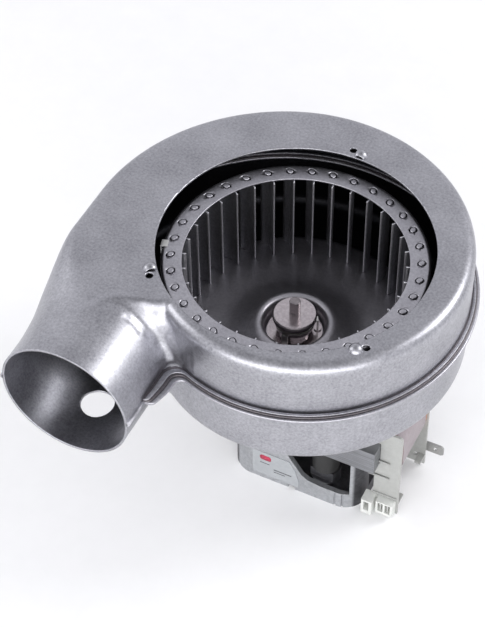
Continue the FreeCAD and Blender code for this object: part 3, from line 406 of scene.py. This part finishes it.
def net_of(distance, low, high, cell):
    """Quads round the zero surface of a distance field, one point in each cell that it crosses."""
    axes = [np.arange(low[i], high[i] + cell, cell) for i in range(3)]
    grid = np.meshgrid(*axes, indexing="ij")
    inside = distance(*grid) < 0
    counts = [n - 1 for n in inside.shape]
    mixed = np.zeros(counts, int)
    for dx in (0, 1):
        for dy in (0, 1):
            for dz in (0, 1):
                mixed += inside[dx:counts[0] + dx, dy:counts[1] + dy, dz:counts[2] + dz]
    crossed = (mixed > 0) & (mixed < 8)
    index = -np.ones(counts, int)
    index[crossed] = np.arange(crossed.sum())
    cells = np.argwhere(crossed)
    points = np.array(low) + (cells + 0.5) * cell
    quads = []
    for axis in range(3):
        u, v = (axis + 1) % 3, (axis + 2) % 3
        a = np.take(inside, np.arange(inside.shape[axis] - 1), axis)
        b = np.take(inside, np.arange(1, inside.shape[axis]), axis)
        for sign in (True, False):
            at = np.argwhere((a != b) & (a == sign))
            at = at[(at[:, u] > 0) & (at[:, v] > 0) & (at[:, u] < counts[u]) & (at[:, v] < counts[v])]
            corners = []
            for du, dv in ((0, 0), (-1, 0), (-1, -1), (0, -1)):
                moved = at.copy()
                moved[:, u] += du
                moved[:, v] += dv
                corners.append(index[moved[:, 0], moved[:, 1], moved[:, 2]])
            quad = np.stack(corners, 1)
            quads.append(quad if sign else quad[:, ::-1])
    return points, np.concatenate(quads)


def pulled_onto(points, distance, rounds=6):
    """Move points along the gradient until they lie on the zero surface."""
    step, least_slope = 0.05, 0.05
    for _ in range(rounds):
        here = distance(*points.T)
        slopes = []
        for axis in range(3):
            ahead = points.copy()
            ahead[:, axis] += step
            slopes.append((distance(*ahead.T) - here) / step)
        slope = np.stack(slopes, 1)
        points = points - slope * (here / np.maximum((slope ** 2).sum(1), least_slope))[:, None]
    return points


def relaxed(points, quads, rounds):
    """Average each point with its neighbours, to even out the net."""
    for _ in range(rounds):
        total = np.zeros_like(points)
        count = np.zeros(len(points))
        for i in range(4):
            a, b = quads[:, i], quads[:, (i + 1) % 4]
            np.add.at(total, a, points[b])
            np.add.at(total, b, points[a])
            np.add.at(count, a, 1)
            np.add.at(count, b, 1)
        points = 0.5 * points + 0.5 * total / count[:, None]
    return points


def half_shell(name, points, quads, keep_above):
    """One half of the housing: cut at the seam and the mouth, and given its sheet's thickness."""
    half = bmesh.new()
    half.from_mesh(mesh_of(name, points, quads.tolist()))
    trim(half, (0, 0, SEAM_Z), (0, 0, 1), keep_above, SHELL_MERGE)
    trim(half, (0, MOUTH_Y, 0), (0, 1, 0), True, SHELL_MERGE)
    mesh = finished(name, half)
    mesh.materials.append(HOUSING_METAL)
    mesh.materials.append(INSIDE_SHADE_METAL)
    return applied(mesh, "SOLIDIFY", thickness=SHEET * MM, offset=-1.0, use_even_offset=True,
                   material_offset=1)


# ---------------------------------------------------------------- materials
CLOUD_SCALE = 38.0
CLOUD_SHARE, GRAIN_SHARE = 0.40, 0.60
ROUGH_LESS, ROUGH_MORE = 0.06, 0.08
BUMP_DEPTH = 0.0002           # metres, as the edges' softening is
SOFT_EDGE_R = 0.00022
SOFT_EDGE_SAMPLES = 4
MIX_FACTOR, MIX_FIRST, MIX_SECOND, MIX_RESULT = 0, 6, 7, 2   # sockets of a colour mix node


def add_node(tree, kind, **inputs):
    made = tree.nodes.new(kind)
    for key, value in inputs.items():
        made.inputs[key.replace("_", " ")].default_value = value
    return made


def math_node(tree, operation, *sources):
    """A math node; each source is a socket or a number."""
    made = tree.nodes.new("ShaderNodeMath")
    made.operation = operation
    for socket, source in zip(made.inputs, sources):
        if isinstance(source, float):
            socket.default_value = source
        else:
            tree.links.new(source, socket)
    return made.outputs[0]


def tone_ramp(tree, amount, dark, light):
    """A colour from a dark tone to a light one."""
    ramp = add_node(tree, "ShaderNodeValToRGB")
    for element, position, tone in zip(ramp.color_ramp.elements, (0.3, 0.7), (dark, light)):
        element.position = position
        element.color = (*tone, 1)
    tree.links.new(amount, ramp.inputs["Fac"])
    return ramp.outputs["Color"]


def sheet_metal(name, dark, light, rough, grain=900.0, stretch=(1, 1, 1), bump=0.06, metallic=1.0):
    """Satin metal: cloudy tone, fine grain, softened edges and a little roughness drift."""
    material = bpy.data.materials.new(name)
    material.use_nodes = True
    tree = material.node_tree
    link = tree.links.new
    shader = tree.nodes["Principled BSDF"]
    shader.inputs["Metallic"].default_value = metallic
    place = add_node(tree, "ShaderNodeTexCoord")
    mapping = add_node(tree, "ShaderNodeMapping", Scale=stretch)
    link(place.outputs["Object"], mapping.inputs["Vector"])
    cloud = add_node(tree, "ShaderNodeTexNoise", Scale=CLOUD_SCALE, Detail=5.0, Roughness=0.6)
    fine = add_node(tree, "ShaderNodeTexNoise", Scale=grain, Detail=3.0, Roughness=0.7)
    link(place.outputs["Object"], cloud.inputs["Vector"])
    link(mapping.outputs["Vector"], fine.inputs["Vector"])
    clouds = math_node(tree, "MULTIPLY", cloud.outputs["Fac"], CLOUD_SHARE)
    blend = math_node(tree, "MULTIPLY_ADD", fine.outputs["Fac"], GRAIN_SHARE, clouds)
    link(tone_ramp(tree, blend, dark, light), shader.inputs["Base Color"])
    spread = add_node(tree, "ShaderNodeMapRange", To_Min=rough - ROUGH_LESS, To_Max=rough + ROUGH_MORE)
    link(blend, spread.inputs["Value"])
    link(spread.outputs["Result"], shader.inputs["Roughness"])
    lump = add_node(tree, "ShaderNodeBump", Strength=bump, Distance=BUMP_DEPTH)
    link(fine.outputs["Fac"], lump.inputs["Height"])
    soft_edge = add_node(tree, "ShaderNodeBevel", Radius=SOFT_EDGE_R)
    soft_edge.samples = SOFT_EDGE_SAMPLES
    link(soft_edge.outputs["Normal"], lump.inputs["Normal"])
    link(lump.outputs["Normal"], shader.inputs["Normal"])
    return material


def moulded(name, dark, light, rough, speckle=500.0, bump=0.12):
    """Plastic, rubber, tape or paint with a fine surface texture."""
    return sheet_metal(name, dark, light, rough, speckle, (1, 1, 1), bump, 0.0)


HOUSING_METAL = sheet_metal("housing_metal", (0.24, 0.24, 0.262), (0.54, 0.54, 0.575), 0.36)
# painted shade: the inside of the sheet is far darker than its outside, for the shade within the housing
INSIDE_SHADE_METAL = sheet_metal("inside_shade_metal", (0.018, 0.018, 0.02), (0.05, 0.05, 0.055), 0.40)
WHEEL_METAL = sheet_metal("wheel_metal", (0.31, 0.305, 0.335), (0.55, 0.545, 0.58), 0.36)
BLADE_METAL = sheet_metal("blade_metal", (0.30, 0.30, 0.325), (0.52, 0.52, 0.55), 0.42)
# painted highlight: the blades' inner edges are made lighter than their faces, partly for the bare cut edge's
# own tone
BLADE_EDGE_HIGHLIGHT = sheet_metal("blade_edge_highlight", (0.50, 0.49, 0.52), (0.80, 0.79, 0.81), 0.50)
PLATE_METAL = sheet_metal("plate_metal", (0.34, 0.33, 0.36), (0.50, 0.49, 0.52), 0.38)
TURNED = sheet_metal("turned_metal", (0.36, 0.325, 0.34), (0.60, 0.55, 0.565), 0.20, 700.0, (1, 1, 6))
SHAFT_METAL = sheet_metal("shaft_metal", (0.16, 0.145, 0.15), (0.34, 0.31, 0.32), 0.17, 700.0, (1, 1, 6))
# painted shade: this dark sheet stands for the shaded gap between the seam's lip and its hem, with a faint
# brownish tint
SEAM_SHADE_METAL = sheet_metal("seam_shade_metal", (0.10, 0.092, 0.098), (0.24, 0.22, 0.23), 0.36)
PLATED = sheet_metal("plated_metal", (0.55, 0.55, 0.53), (0.72, 0.72, 0.70), 0.30)
SPADE = sheet_metal("spade_metal", (0.34, 0.34, 0.33), (0.50, 0.50, 0.49), 0.34)
# painted shade: the cast parts' dark tone stands for the shade inside the motor; their own lighter tone is
# given below, away from the middle
CAST_SHADE_METAL = sheet_metal("cast_shade_metal", (0.06, 0.06, 0.065), (0.14, 0.14, 0.15), 0.50, 600.0, (1, 1, 1), 0.35)
LAMINATED = sheet_metal("laminated_metal", (0.14, 0.14, 0.15), (0.42, 0.43, 0.45), 0.45, 300.0, (0.1, 0.1, 9))
COPPER = sheet_metal("copper_metal", (0.62, 0.28, 0.15), (0.80, 0.42, 0.26), 0.32)
BRONZE = sheet_metal("bronze_metal", (0.45, 0.32, 0.18), (0.62, 0.46, 0.28), 0.42)
ALUMINIUM = sheet_metal("aluminium_metal", (0.62, 0.62, 0.63), (0.78, 0.78, 0.79), 0.38)
WHITE = moulded("white_plastic", (0.33, 0.335, 0.32), (0.41, 0.415, 0.40), 0.42)
BLOCK_WHITE = moulded("block_plastic", (0.60, 0.61, 0.585), (0.72, 0.73, 0.70), 0.42)
TAPE = moulded("coil_tape", (0.25, 0.215, 0.225), (0.34, 0.30, 0.315), 0.55)
RUBBER = moulded("black_rubber", (0.010, 0.010, 0.010), (0.028, 0.028, 0.028), 0.60)
FELT = moulded("felt", (0.20, 0.19, 0.17), (0.36, 0.34, 0.31), 0.95, 1500.0, 0.8)
LABEL = moulded("label_film", (0.31, 0.325, 0.34), (0.39, 0.405, 0.42), 0.35)
MARK = moulded("mark_ink", (0.42, 0.02, 0.06), (0.55, 0.04, 0.09), 0.45)
INK = moulded("grey_ink", (0.07, 0.07, 0.08), (0.13, 0.13, 0.14), 0.5)

NODE_MATERIALS = {
    HOUSING_METAL: ["upper_housing", "lower_housing"],
    WHEEL_METAL: ["wheel_top_ring"],
    BLADE_METAL: ["wheel_blades"],
    PLATE_METAL: ["wheel_backplate"],
    TURNED: ["wheel_hub", "hub_rivets"],
    SHAFT_METAL: ["motor_shaft"],
    PLATED: ["seal_plate", "mount_screws", "mount_nuts", "motor_bracket", "motor_screws", "motor_nuts",
             "upper_spacers", "bearing_retainers", "thrust_washers", "retaining_clips", "hub_clip",
             "balance_clip", "connector_pins", "earth_tab"],
    SPADE: ["spade_terminal"],
    CAST_SHADE_METAL: ["upper_bearing_bridge", "lower_shield"],
    LAMINATED: ["stator_core", "rotor_core"],
    COPPER: ["shading_rings", "coil_winding"],
    BRONZE: ["upper_bearing", "lower_bearing"],
    ALUMINIUM: ["rotor_end_rings", "cooling_fan", "seal_rivets"],
    WHITE: ["coil_bobbin"],
    BLOCK_WHITE: ["connector_block"],
    TAPE: ["coil_tape"],
    RUBBER: ["mount_grommets", "lower_spacers"],
    FELT: ["shaft_seal"],
    LABEL: ["rating_label"],
}


def zoned(material, dark, light, begin, end, both_sides=False):
    """Blend the tone to another one between two distances along Y, or along both Y and -Y."""
    tree = material.node_tree
    link = tree.links.new
    shader = tree.nodes["Principled BSDF"]
    plain = shader.inputs["Base Color"].links[0].from_socket
    amount = plain.node.inputs["Fac"].links[0].from_socket
    place = add_node(tree, "ShaderNodeTexCoord")
    split = add_node(tree, "ShaderNodeSeparateXYZ")
    link(place.outputs["Object"], split.inputs["Vector"])
    along = math_node(tree, "ABSOLUTE", split.outputs["Y"]) if both_sides else split.outputs["Y"]
    reach = add_node(tree, "ShaderNodeMapRange", From_Min=begin * MM, From_Max=end * MM)
    link(along, reach.inputs["Value"])
    mixer = tree.nodes.new("ShaderNodeMix")
    mixer.data_type = "RGBA"
    link(reach.outputs["Result"], mixer.inputs[MIX_FACTOR])
    link(plain, mixer.inputs[MIX_FIRST])
    link(tone_ramp(tree, amount, dark, light), mixer.inputs[MIX_SECOND])
    link(mixer.outputs[MIX_RESULT], shader.inputs["Base Color"])


# painted shade deep inside the housing, fading to a tone like the outside's towards the outlet's mouth, where
# light comes in
zoned(INSIDE_SHADE_METAL, (0.23, 0.23, 0.26), (0.56, 0.56, 0.61), -50.0, -78.0)
# painted shade: the cast parts stay dark within 20.6 mm of the middle, where shade falls inside the motor,
# and take their own lighter tone beyond 21.6 mm
zoned(CAST_SHADE_METAL, (0.36, 0.37, 0.385), (0.60, 0.61, 0.63), 20.6, 21.6, True)
for material, names in NODE_MATERIALS.items():
    for node_name in names:
        NODES[node_name].data.materials.clear()
        NODES[node_name].data.materials.append(material)


# ---------------------------------------------------------------- the housing's two halves
net_points, net_quads = net_of(shell_distance, FIELD_LOW, FIELD_HIGH, CELL)
net_points = pulled_onto(net_points, shell_distance)
net_points = relaxed(net_points, net_quads, 2)
net_points = pulled_onto(net_points, shell_distance, 3)

upper_mesh = half_shell("cover_shell", net_points, net_quads, True)
lug_rods = [placed(rod_mesh(hole_r, -THROUGH, THROUGH, LUG_HOLE_X, LUG_HOLE_Y, 32), turned_by(angle))
            for angle, hole_r in LUG_PLACES]
upper_mesh = drilled(upper_mesh, [rod_mesh(INLET_R, -THROUGH, THROUGH, 0, 0, 180)] + lug_rods)
cover = new_piece("cover_shell", upper_mesh, HOUSING_METAL, inner=INSIDE_SHADE_METAL)
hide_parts("upper_housing")

lower_mesh = half_shell("base_shell", net_points, net_quads, False)
lower_mesh = drilled(lower_mesh, [rod_mesh(DRAIN_R, -HEIGHT - THROUGH, DRAIN_TOP_Z, TUBE_X, DRAIN_Y),
                                  rod_mesh(SHAFT_HOLE_R, -HEIGHT - THROUGH, -HEIGHT + THROUGH, 0, 0)])
base = new_piece("base_shell", lower_mesh, HOUSING_METAL, inner=INSIDE_SHADE_METAL)
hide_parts("lower_housing")


# ---------------------------------------------------------------- the seam between the halves
def arc_points(centre, radius, begin, end, count):
    """Points along an arc from one angle to another, in degrees, either way round."""
    turns = np.radians(np.linspace(begin, end, count))
    return [(centre[0] + radius * math.cos(angle), centre[1] + radius * math.sin(angle)) for angle in turns]


def seam_line(beside_tube, off_scroll, corner):
    """Points along the seam round the tongue and the spiral, at distances off the tube and the scroll."""
    (cx, cy), radius = spiral_arc(-2 * SPIRAL_ARC)
    reach = radius + off_scroll + corner
    tongue_x = INNER_X + beside_tube + corner
    tongue_y = cy - math.sqrt(reach ** 2 - (tongue_x - cx) ** 2)
    normal = math.degrees(math.atan2(tongue_y - cy, tongue_x - cx))
    line = arc_points((tongue_x, tongue_y), corner, 180.0, 180.0 + normal, CORNER_POINTS)
    for i in range(SPIRAL_ARCS):
        start = (i - 2) * SPIRAL_ARC
        centre, radius = spiral_arc(start)
        begin = max(start, normal) + ARC_GAP
        line += arc_points(centre, radius + off_scroll, begin, start + SPIRAL_ARC, ARC_POINTS)
    return line


def seam_path():
    """Points on the housing with the way to the hem's edge, from beside the tube to the outer side."""
    inner = [(INNER_X, y) for y, _ in HEM_TAIL] + seam_line(0.0, 0.0, TONGUE_R)
    inner += [(OUTER_X, y) for y, _ in HEM_OUTER]
    outer = [(INNER_X + width, y) for y, width in HEM_TAIL]
    outer += seam_line(HEM_TONGUE_W, HEM_SCROLL_W, HEM_CORNER_R)
    outer += [(OUTER_X - width, y) for y, width in HEM_OUTER]
    return [(a, ((b[0] - a[0]) / HEM_W, (b[1] - a[1]) / HEM_W)) for a, b in zip(inner, outer)]


# a strip's name, its ends across the hem, its underside and top above the seam, its rounding and its metal
# the seam_fold strip's dark metal is painted shade for the gap between the lip and the hem
SEAM_STRIPS = (("seam_hem", -0.5, HEM_W, -1.1, 0.3, 0.68, WHEEL_METAL),
               ("seam_fold", -0.5, HEM_W * 0.7, 0.6, 1.25, STRIP_CORNER_R, SEAM_SHADE_METAL),
               ("seam_lip", 0.8, HEM_W * 0.52, 1.2, 2.0, STRIP_CORNER_R, HOUSING_METAL))
SEAM = seam_path()
for name, s0, s1, low, high, corner, metal in SEAM_STRIPS:
    section = rounded_section(s0, s1, SEAM_Z + low, SEAM_Z + high, corner)
    new_piece(name, swept(name, SEAM, section), metal)

TUBE_SEAM = [((0, HEM_END_Y - 2.0), (1, 0)), ((0, MOUTH_Y), (1, 0))]
for name, x0, x1 in (("tube_seam_inner", INNER_X - 0.6, INNER_X + 1.0),
                     ("tube_seam_outer", OUTER_X - 1.0, OUTER_X + 0.6)):
    for i, (low, high) in enumerate(((-1.0, -0.1), (0.1, 1.0))):
        section = rounded_section(x0, x1, SEAM_Z + low, SEAM_Z + high, STRIP_CORNER_R)
        new_piece(f"{name}_{i}", swept(name, TUBE_SEAM, section), HOUSING_METAL)


# ---------------------------------------------------------------- lanced lugs on the cover
def lug_mesh():
    """Half a dome of sheet, open towards its hole and trimmed beside the inlet."""
    dome = bmesh.new()
    place = Matrix.Translation(Vector((*LUG_DOME, -LUG_DOME_SINK)) * MM)
    bmesh.ops.create_uvsphere(dome, u_segments=36, v_segments=24, radius=LUG_DOME_R * MM, matrix=place)
    for spot, normal in (((0, LUG_FACE_Y, 0), (0, 1, 0)), ((0, 0, LUG_FOOT_Z), (0, 0, -1)),
                         ((LUG_IN_X, 0, 0), (-1, 0, 0))):
        trim(dome, spot, normal, False, LUG_MERGE)
    return applied(finished("lug", dome), "SOLIDIFY", thickness=LUG_SHEET * MM, offset=-1.0)


for number, (angle, _) in enumerate(LUG_PLACES, 1):
    new_piece(f"cover_lug_{number}", placed(lug_mesh(), turned_by(angle)), HOUSING_METAL)


# ---------------------------------------------------------------- wheel
RING_Z = -8.4                 # top of the wheel's ring
PLATE_Z = -54.9               # upper face of its backplate
CUP_Z = -56.0                 # upper face of the plate's cup, under the hub's flange
WHEEL_SHEET = 0.8
RING_IN_R = 49.3
RING_OUT_R = 58.6
RING_BEND_R = 1.6
RING_STEPS = 204
HUB_SPIGOT_R = 6.3
BLADES = 34
BLADE_IN_R = 47.6
BLADE_OUT_R = 56.8
BLADE_LEAN = 4.5
BLADE_SAG = 1.6
BLADE_HALF = 0.25
BEAD_R = 0.32                 # the blade's inner edge is a little thicker than its sheet
BEAD_FADE = (0.12, 0.05)      # it fades to the sheet between these shares of the section
BEAD_TIP = 0.45               # share of the bead's radius left at the very edge
BLADE_STATIONS = (0.0, 0.02, 0.05, 0.085, 0.12, 0.2, 0.32, 0.44, 0.56, 0.68, 0.8, 0.9, 1.0)
# the lighter edge material is a painted highlight along each blade's inner edge, partly the bare cut edge
BRIGHT_EDGE_R = BLADE_IN_R + 0.75   # faces nearer the shaft than this take the edge's material
TAB_AT = 0.66                 # place of the rivet tab along a blade's section
TAB_LONG, TAB_WIDE = 1.75, 1.35
TAB_SLOT_LONG, TAB_SLOT_WIDE = TAB_LONG + 0.35, TAB_WIDE + 0.45
TAB_SIDES = 28
UNEVEN = 0.22                 # degrees that the blades are off an even spacing
BLADE_TURNS = [360.0 / BLADES * i + UNEVEN * math.sin(5.0 * i) for i in range(BLADES)]


def blade_curve(t):
    """Point and side direction of a blade's curved section, t running from its inner edge to its tip."""
    root = Vector((BLADE_IN_R, 0))
    lean = math.radians(BLADE_LEAN)
    tip = Vector((BLADE_OUT_R * math.cos(lean), BLADE_OUT_R * math.sin(lean)))
    chord = tip - root
    back = Vector((chord.y, -chord.x)).normalized()
    radius = chord.length ** 2 / (8 * BLADE_SAG) + BLADE_SAG / 2
    centre = (root + tip) / 2 - back * (radius - BLADE_SAG)
    first, last = [math.atan2(p.y - centre.y, p.x - centre.x) for p in (root, tip)]
    angle = first + (last - first) * t
    side = Vector((math.cos(angle), math.sin(angle)))
    return centre + side * radius, side


def blade_mesh():
    """One blade: a curved sheet with a bead along its inner edge."""
    left, right = [], []
    for t in BLADE_STATIONS:
        point, side = blade_curve(t)
        half = BLADE_HALF + (BEAD_R - BLADE_HALF) * float(smooth_step(*BEAD_FADE, t))
        if t == 0.0:
            half *= BEAD_TIP
        left.append(point + side * half)
        right.append(point - side * half)
    low, high = PLATE_Z - 0.1, RING_Z - WHEEL_SHEET
    levels = (low, low + 1.0, high - 0.35, high)
    return lofted("blade", [[(p.x, p.y, z) for p in left + right[::-1]] for z in levels])


blade = blade_mesh()
blade_set_mesh = joined("blade_set", [placed(blade, turned_by(angle)) for angle in BLADE_TURNS])
blade_set = new_piece("blade_set", blade_set_mesh, BLADE_METAL, "rotor", BLADE_EDGE_HIGHLIGHT)
for face in blade_set.data.polygons:
    if math.hypot(face.center.x, face.center.y) < BRIGHT_EDGE_R * MM:
        face.material_index = 1
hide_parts("wheel_blades")


def tab_place():
    """The place of a rivet tab on the first blade, turned along the blade."""
    point, side = blade_curve(TAB_AT)
    across = Matrix.Rotation(math.atan2(side.y, side.x) + math.pi / 2, 4, "Z")
    return Matrix.Translation((point.x, point.y, 0)) @ across


def tab_rod(z0, z1):
    """An oval rod for the slot round a rivet tab."""
    squeeze = Matrix.Diagonal((TAB_SLOT_LONG, TAB_SLOT_WIDE, 1, 1))
    return placed(rod_mesh(1.0, z0, z1, 0, 0, TAB_SIDES), tab_place() @ squeeze)


def tab_button():
    """The flattened head of a rivet tab: a low oval dome with a rolled edge."""
    turns = [2 * math.pi * i / TAB_SIDES for i in range(TAB_SIDES)]
    profile = [(0.50, 0.5), (0.72, 0.46), (0.86, 0.36), (0.93, 0.16), (0.93, -0.5)]
    rings = [[(r * TAB_LONG * math.cos(turn), r * TAB_WIDE * math.sin(turn), RING_Z + z) for turn in turns]
             for r, z in profile]
    return placed(lofted("tab_button", rings), tab_place())


ring_line = [(RING_IN_R, RING_Z), (RING_IN_R + 0.3, RING_Z)]
ring_line += [(r, RING_Z) for r in np.linspace(RING_IN_R + 1.0, RING_OUT_R - 2.0, 8)]
for angle in np.radians(np.arange(90, -1, -15)):
    ring_line.append((RING_OUT_R - RING_BEND_R + RING_BEND_R * math.cos(angle),
                      RING_Z - RING_BEND_R + RING_BEND_R * math.sin(angle)))
ring_line.append((RING_OUT_R, RING_Z - 2 * RING_BEND_R))
ring_mesh = lathe("ring_disc", offset_profile(ring_line, WHEEL_SHEET), RING_STEPS)
slot_rod = tab_rod(RING_Z - 3, RING_Z + 2)
slot_rods = [placed(slot_rod, turned_by(angle)) for angle in BLADE_TURNS]
ring = new_piece("ring_disc", drilled(ring_mesh, slot_rods), WHEEL_METAL, "rotor")
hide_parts("wheel_top_ring")
button = tab_button()
new_piece("ring_tabs", joined("ring_tabs", [placed(button, turned_by(angle)) for angle in BLADE_TURNS]),
          WHEEL_METAL, "rotor")

# the plate's upper face, from its rim over the raised ring to the cup that holds the hub
plate_line = [(RING_OUT_R - 0.4, PLATE_Z), (45.0, PLATE_Z), (33.0, PLATE_Z), (27.0, PLATE_Z + 1.3),
              (21.5, PLATE_Z + 4.0), (18.2, PLATE_Z + 5.9), (16.2, PLATE_Z + 6.4), (14.6, PLATE_Z + 5.6),
              (13.8, PLATE_Z + 3.4), (13.6, PLATE_Z + 0.8), (13.1, CUP_Z + 0.2), (12.2, CUP_Z),
              (HUB_SPIGOT_R, CUP_Z)]
plate_mesh = lathe("dished_plate", offset_profile(smooth_line(plate_line), -WHEEL_SHEET))
plate = new_piece("dished_plate", plate_mesh, PLATE_METAL, "rotor")
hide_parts("wheel_backplate")


# ---------------------------------------------------------------- ribs on the bobbin's front cheek
CHEEK_LOW, CHEEK_HIGH = [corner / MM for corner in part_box("coil_bobbin")]
RIB_LEVELS = (-101.5, -112.5)
RIB_ENDS = (CHEEK_HIGH.x - 15.0, CHEEK_HIGH.x - 5.0)
RIB_W, RIB_OUT, RIB_SINK = 0.7, 0.35, 0.2
for number, rib_z in enumerate(RIB_LEVELS, 1):
    front, back = CHEEK_LOW.y - RIB_OUT, CHEEK_LOW.y + RIB_SINK
    rib_section = [(front, rib_z + RIB_W / 2), (back, rib_z + RIB_W), (back, rib_z - RIB_W),
                   (front, rib_z - RIB_W / 2)]
    rib_mesh = lofted("rib", [[(x, y, z) for y, z in rib_section] for x in RIB_ENDS])
    new_piece(f"cheek_rib_{number}", rib_mesh, WHITE)


# ---------------------------------------------------------------- print on the label
LABEL_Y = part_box("rating_label")[0].y / MM
PRINT_OUT, PRINT_SINK = 0.06, 0.04
# each patch: name, left and right, bottom and top, rounding, ink
for name, x0, x1, z0, z1, corner, ink in (("label_mark", -5.6, 0.2, -124.4, -121.0, 1.2, MARK),
                                          ("label_line_1", 1.6, 10.8, -129.6, -129.0, 0.2, INK),
                                          ("label_line_2", 1.6, 7.4, -131.2, -130.7, 0.2, INK),
                                          ("label_line_3", -5.6, -0.6, -127.0, -126.6, 0.15, INK)):
    outline = rounded_section(x0, x1, z0, z1, corner)
    patch_rings = [[(x, y, z) for x, z in outline] for y in (LABEL_Y - PRINT_OUT, LABEL_Y + PRINT_SINK)]
    new_piece(name, lofted(name, patch_rings), ink)


# ---------------------------------------------------------------- floor, light and camera
FLOOR_HALF = 3.0
SKY_DIMS = (0.74, 0.98)       # upward part of a direction, where the sky begins and ends to dim
SKY_STRENGTH = (0.86, 0.44)
CENTRE = (cad_box[0] + cad_box[1]) / 2
# each light: name, place, what it points at, width, height, power
LIGHTS = (("window_light", (0.62, 0.46, 0.56), (-0.05, -0.08, -0.01), 0.40, 0.34, 3.6),
          ("camera_light", (0.30, -1.00, 0.34), CENTRE, 1.9, 0.62, 11.5),
          ("left_light", (-0.85, -0.25, 0.45), CENTRE, 0.5, 0.5, 1.8))
CAMERA_AZIMUTH, CAMERA_ELEVATION, CAMERA_ROLL = 27.0, 48.22, -0.77
CAMERA_DISTANCE, AIM_RIGHT, AIM_UP = 813.2, 22.9, 29.5   # mm, from the shaft's top
LENS, SENSOR_W = 108.92, 36.0
NEAR, FAR = 0.05, 20.0

floor_mesh = bpy.data.meshes.new("studio_floor")
floor_mesh.from_pydata([(-FLOOR_HALF, -FLOOR_HALF, FLOOR_Z), (FLOOR_HALF, -FLOOR_HALF, FLOOR_Z),
                        (FLOOR_HALF, FLOOR_HALF, FLOOR_Z), (-FLOOR_HALF, FLOOR_HALF, FLOOR_Z)],
                       [], [(0, 1, 2, 3)])
floor = linked("studio_floor", floor_mesh)
floor.data.materials.append(moulded("floor_paint", (0.90, 0.90, 0.90), (0.93, 0.93, 0.93), 0.9, 60.0, 0.0))

world = bpy.data.worlds.new("studio")
bpy.context.scene.world = world
world.use_nodes = True
sky = world.node_tree
background = sky.nodes["Background"]
background.inputs["Color"].default_value = (0.95, 0.95, 1.0, 1)
sky_place = add_node(sky, "ShaderNodeTexCoord")
sky_split = add_node(sky, "ShaderNodeSeparateXYZ")
sky_height = add_node(sky, "ShaderNodeMapRange", From_Min=SKY_DIMS[0], From_Max=SKY_DIMS[1],
                      To_Min=SKY_STRENGTH[0], To_Max=SKY_STRENGTH[1])
sky.links.new(sky_place.outputs["Generated"], sky_split.inputs["Vector"])
sky.links.new(sky_split.outputs["Z"], sky_height.inputs["Value"])
sky.links.new(sky_height.outputs["Result"], background.inputs["Strength"])
bpy.context.scene.view_settings.view_transform = "Standard"

for name, place, aim, width, height, power in LIGHTS:
    lamp = bpy.data.lights.new(name, "AREA")
    lamp.shape = "RECTANGLE"
    lamp.size = width
    lamp.size_y = height
    lamp.energy = power
    holder = linked(name, lamp)
    holder.location = place
    holder.rotation_mode = "QUATERNION"
    holder.rotation_quaternion = (Vector(aim) - Vector(place)).to_track_quat("-Z", "Y")

azimuth, elevation, roll = [math.radians(a) for a in (CAMERA_AZIMUTH, CAMERA_ELEVATION, CAMERA_ROLL)]
level = Vector((math.cos(azimuth), math.sin(azimuth), 0))
ahead = Vector((-math.sin(azimuth), math.cos(azimuth), 0))
forward = ahead * math.cos(elevation) - Vector((0, 0, math.sin(elevation)))
upward = ahead * math.sin(elevation) + Vector((0, 0, math.cos(elevation)))
right = level * math.cos(roll) + upward * math.sin(roll)
above = upward * math.cos(roll) - level * math.sin(roll)
camera_data = bpy.data.cameras.new("camera")
camera_data.lens = LENS
camera_data.sensor_width = SENSOR_W
camera_data.clip_start = NEAR
camera_data.clip_end = FAR
camera = linked("camera", camera_data)
turn = Matrix((right, above, -forward)).transposed().to_4x4()
spot = -(right * AIM_RIGHT + above * AIM_UP + forward * CAMERA_DISTANCE) * MM
camera.matrix_world = Matrix.Translation(spot) @ turn
bpy.context.scene.camera = camera
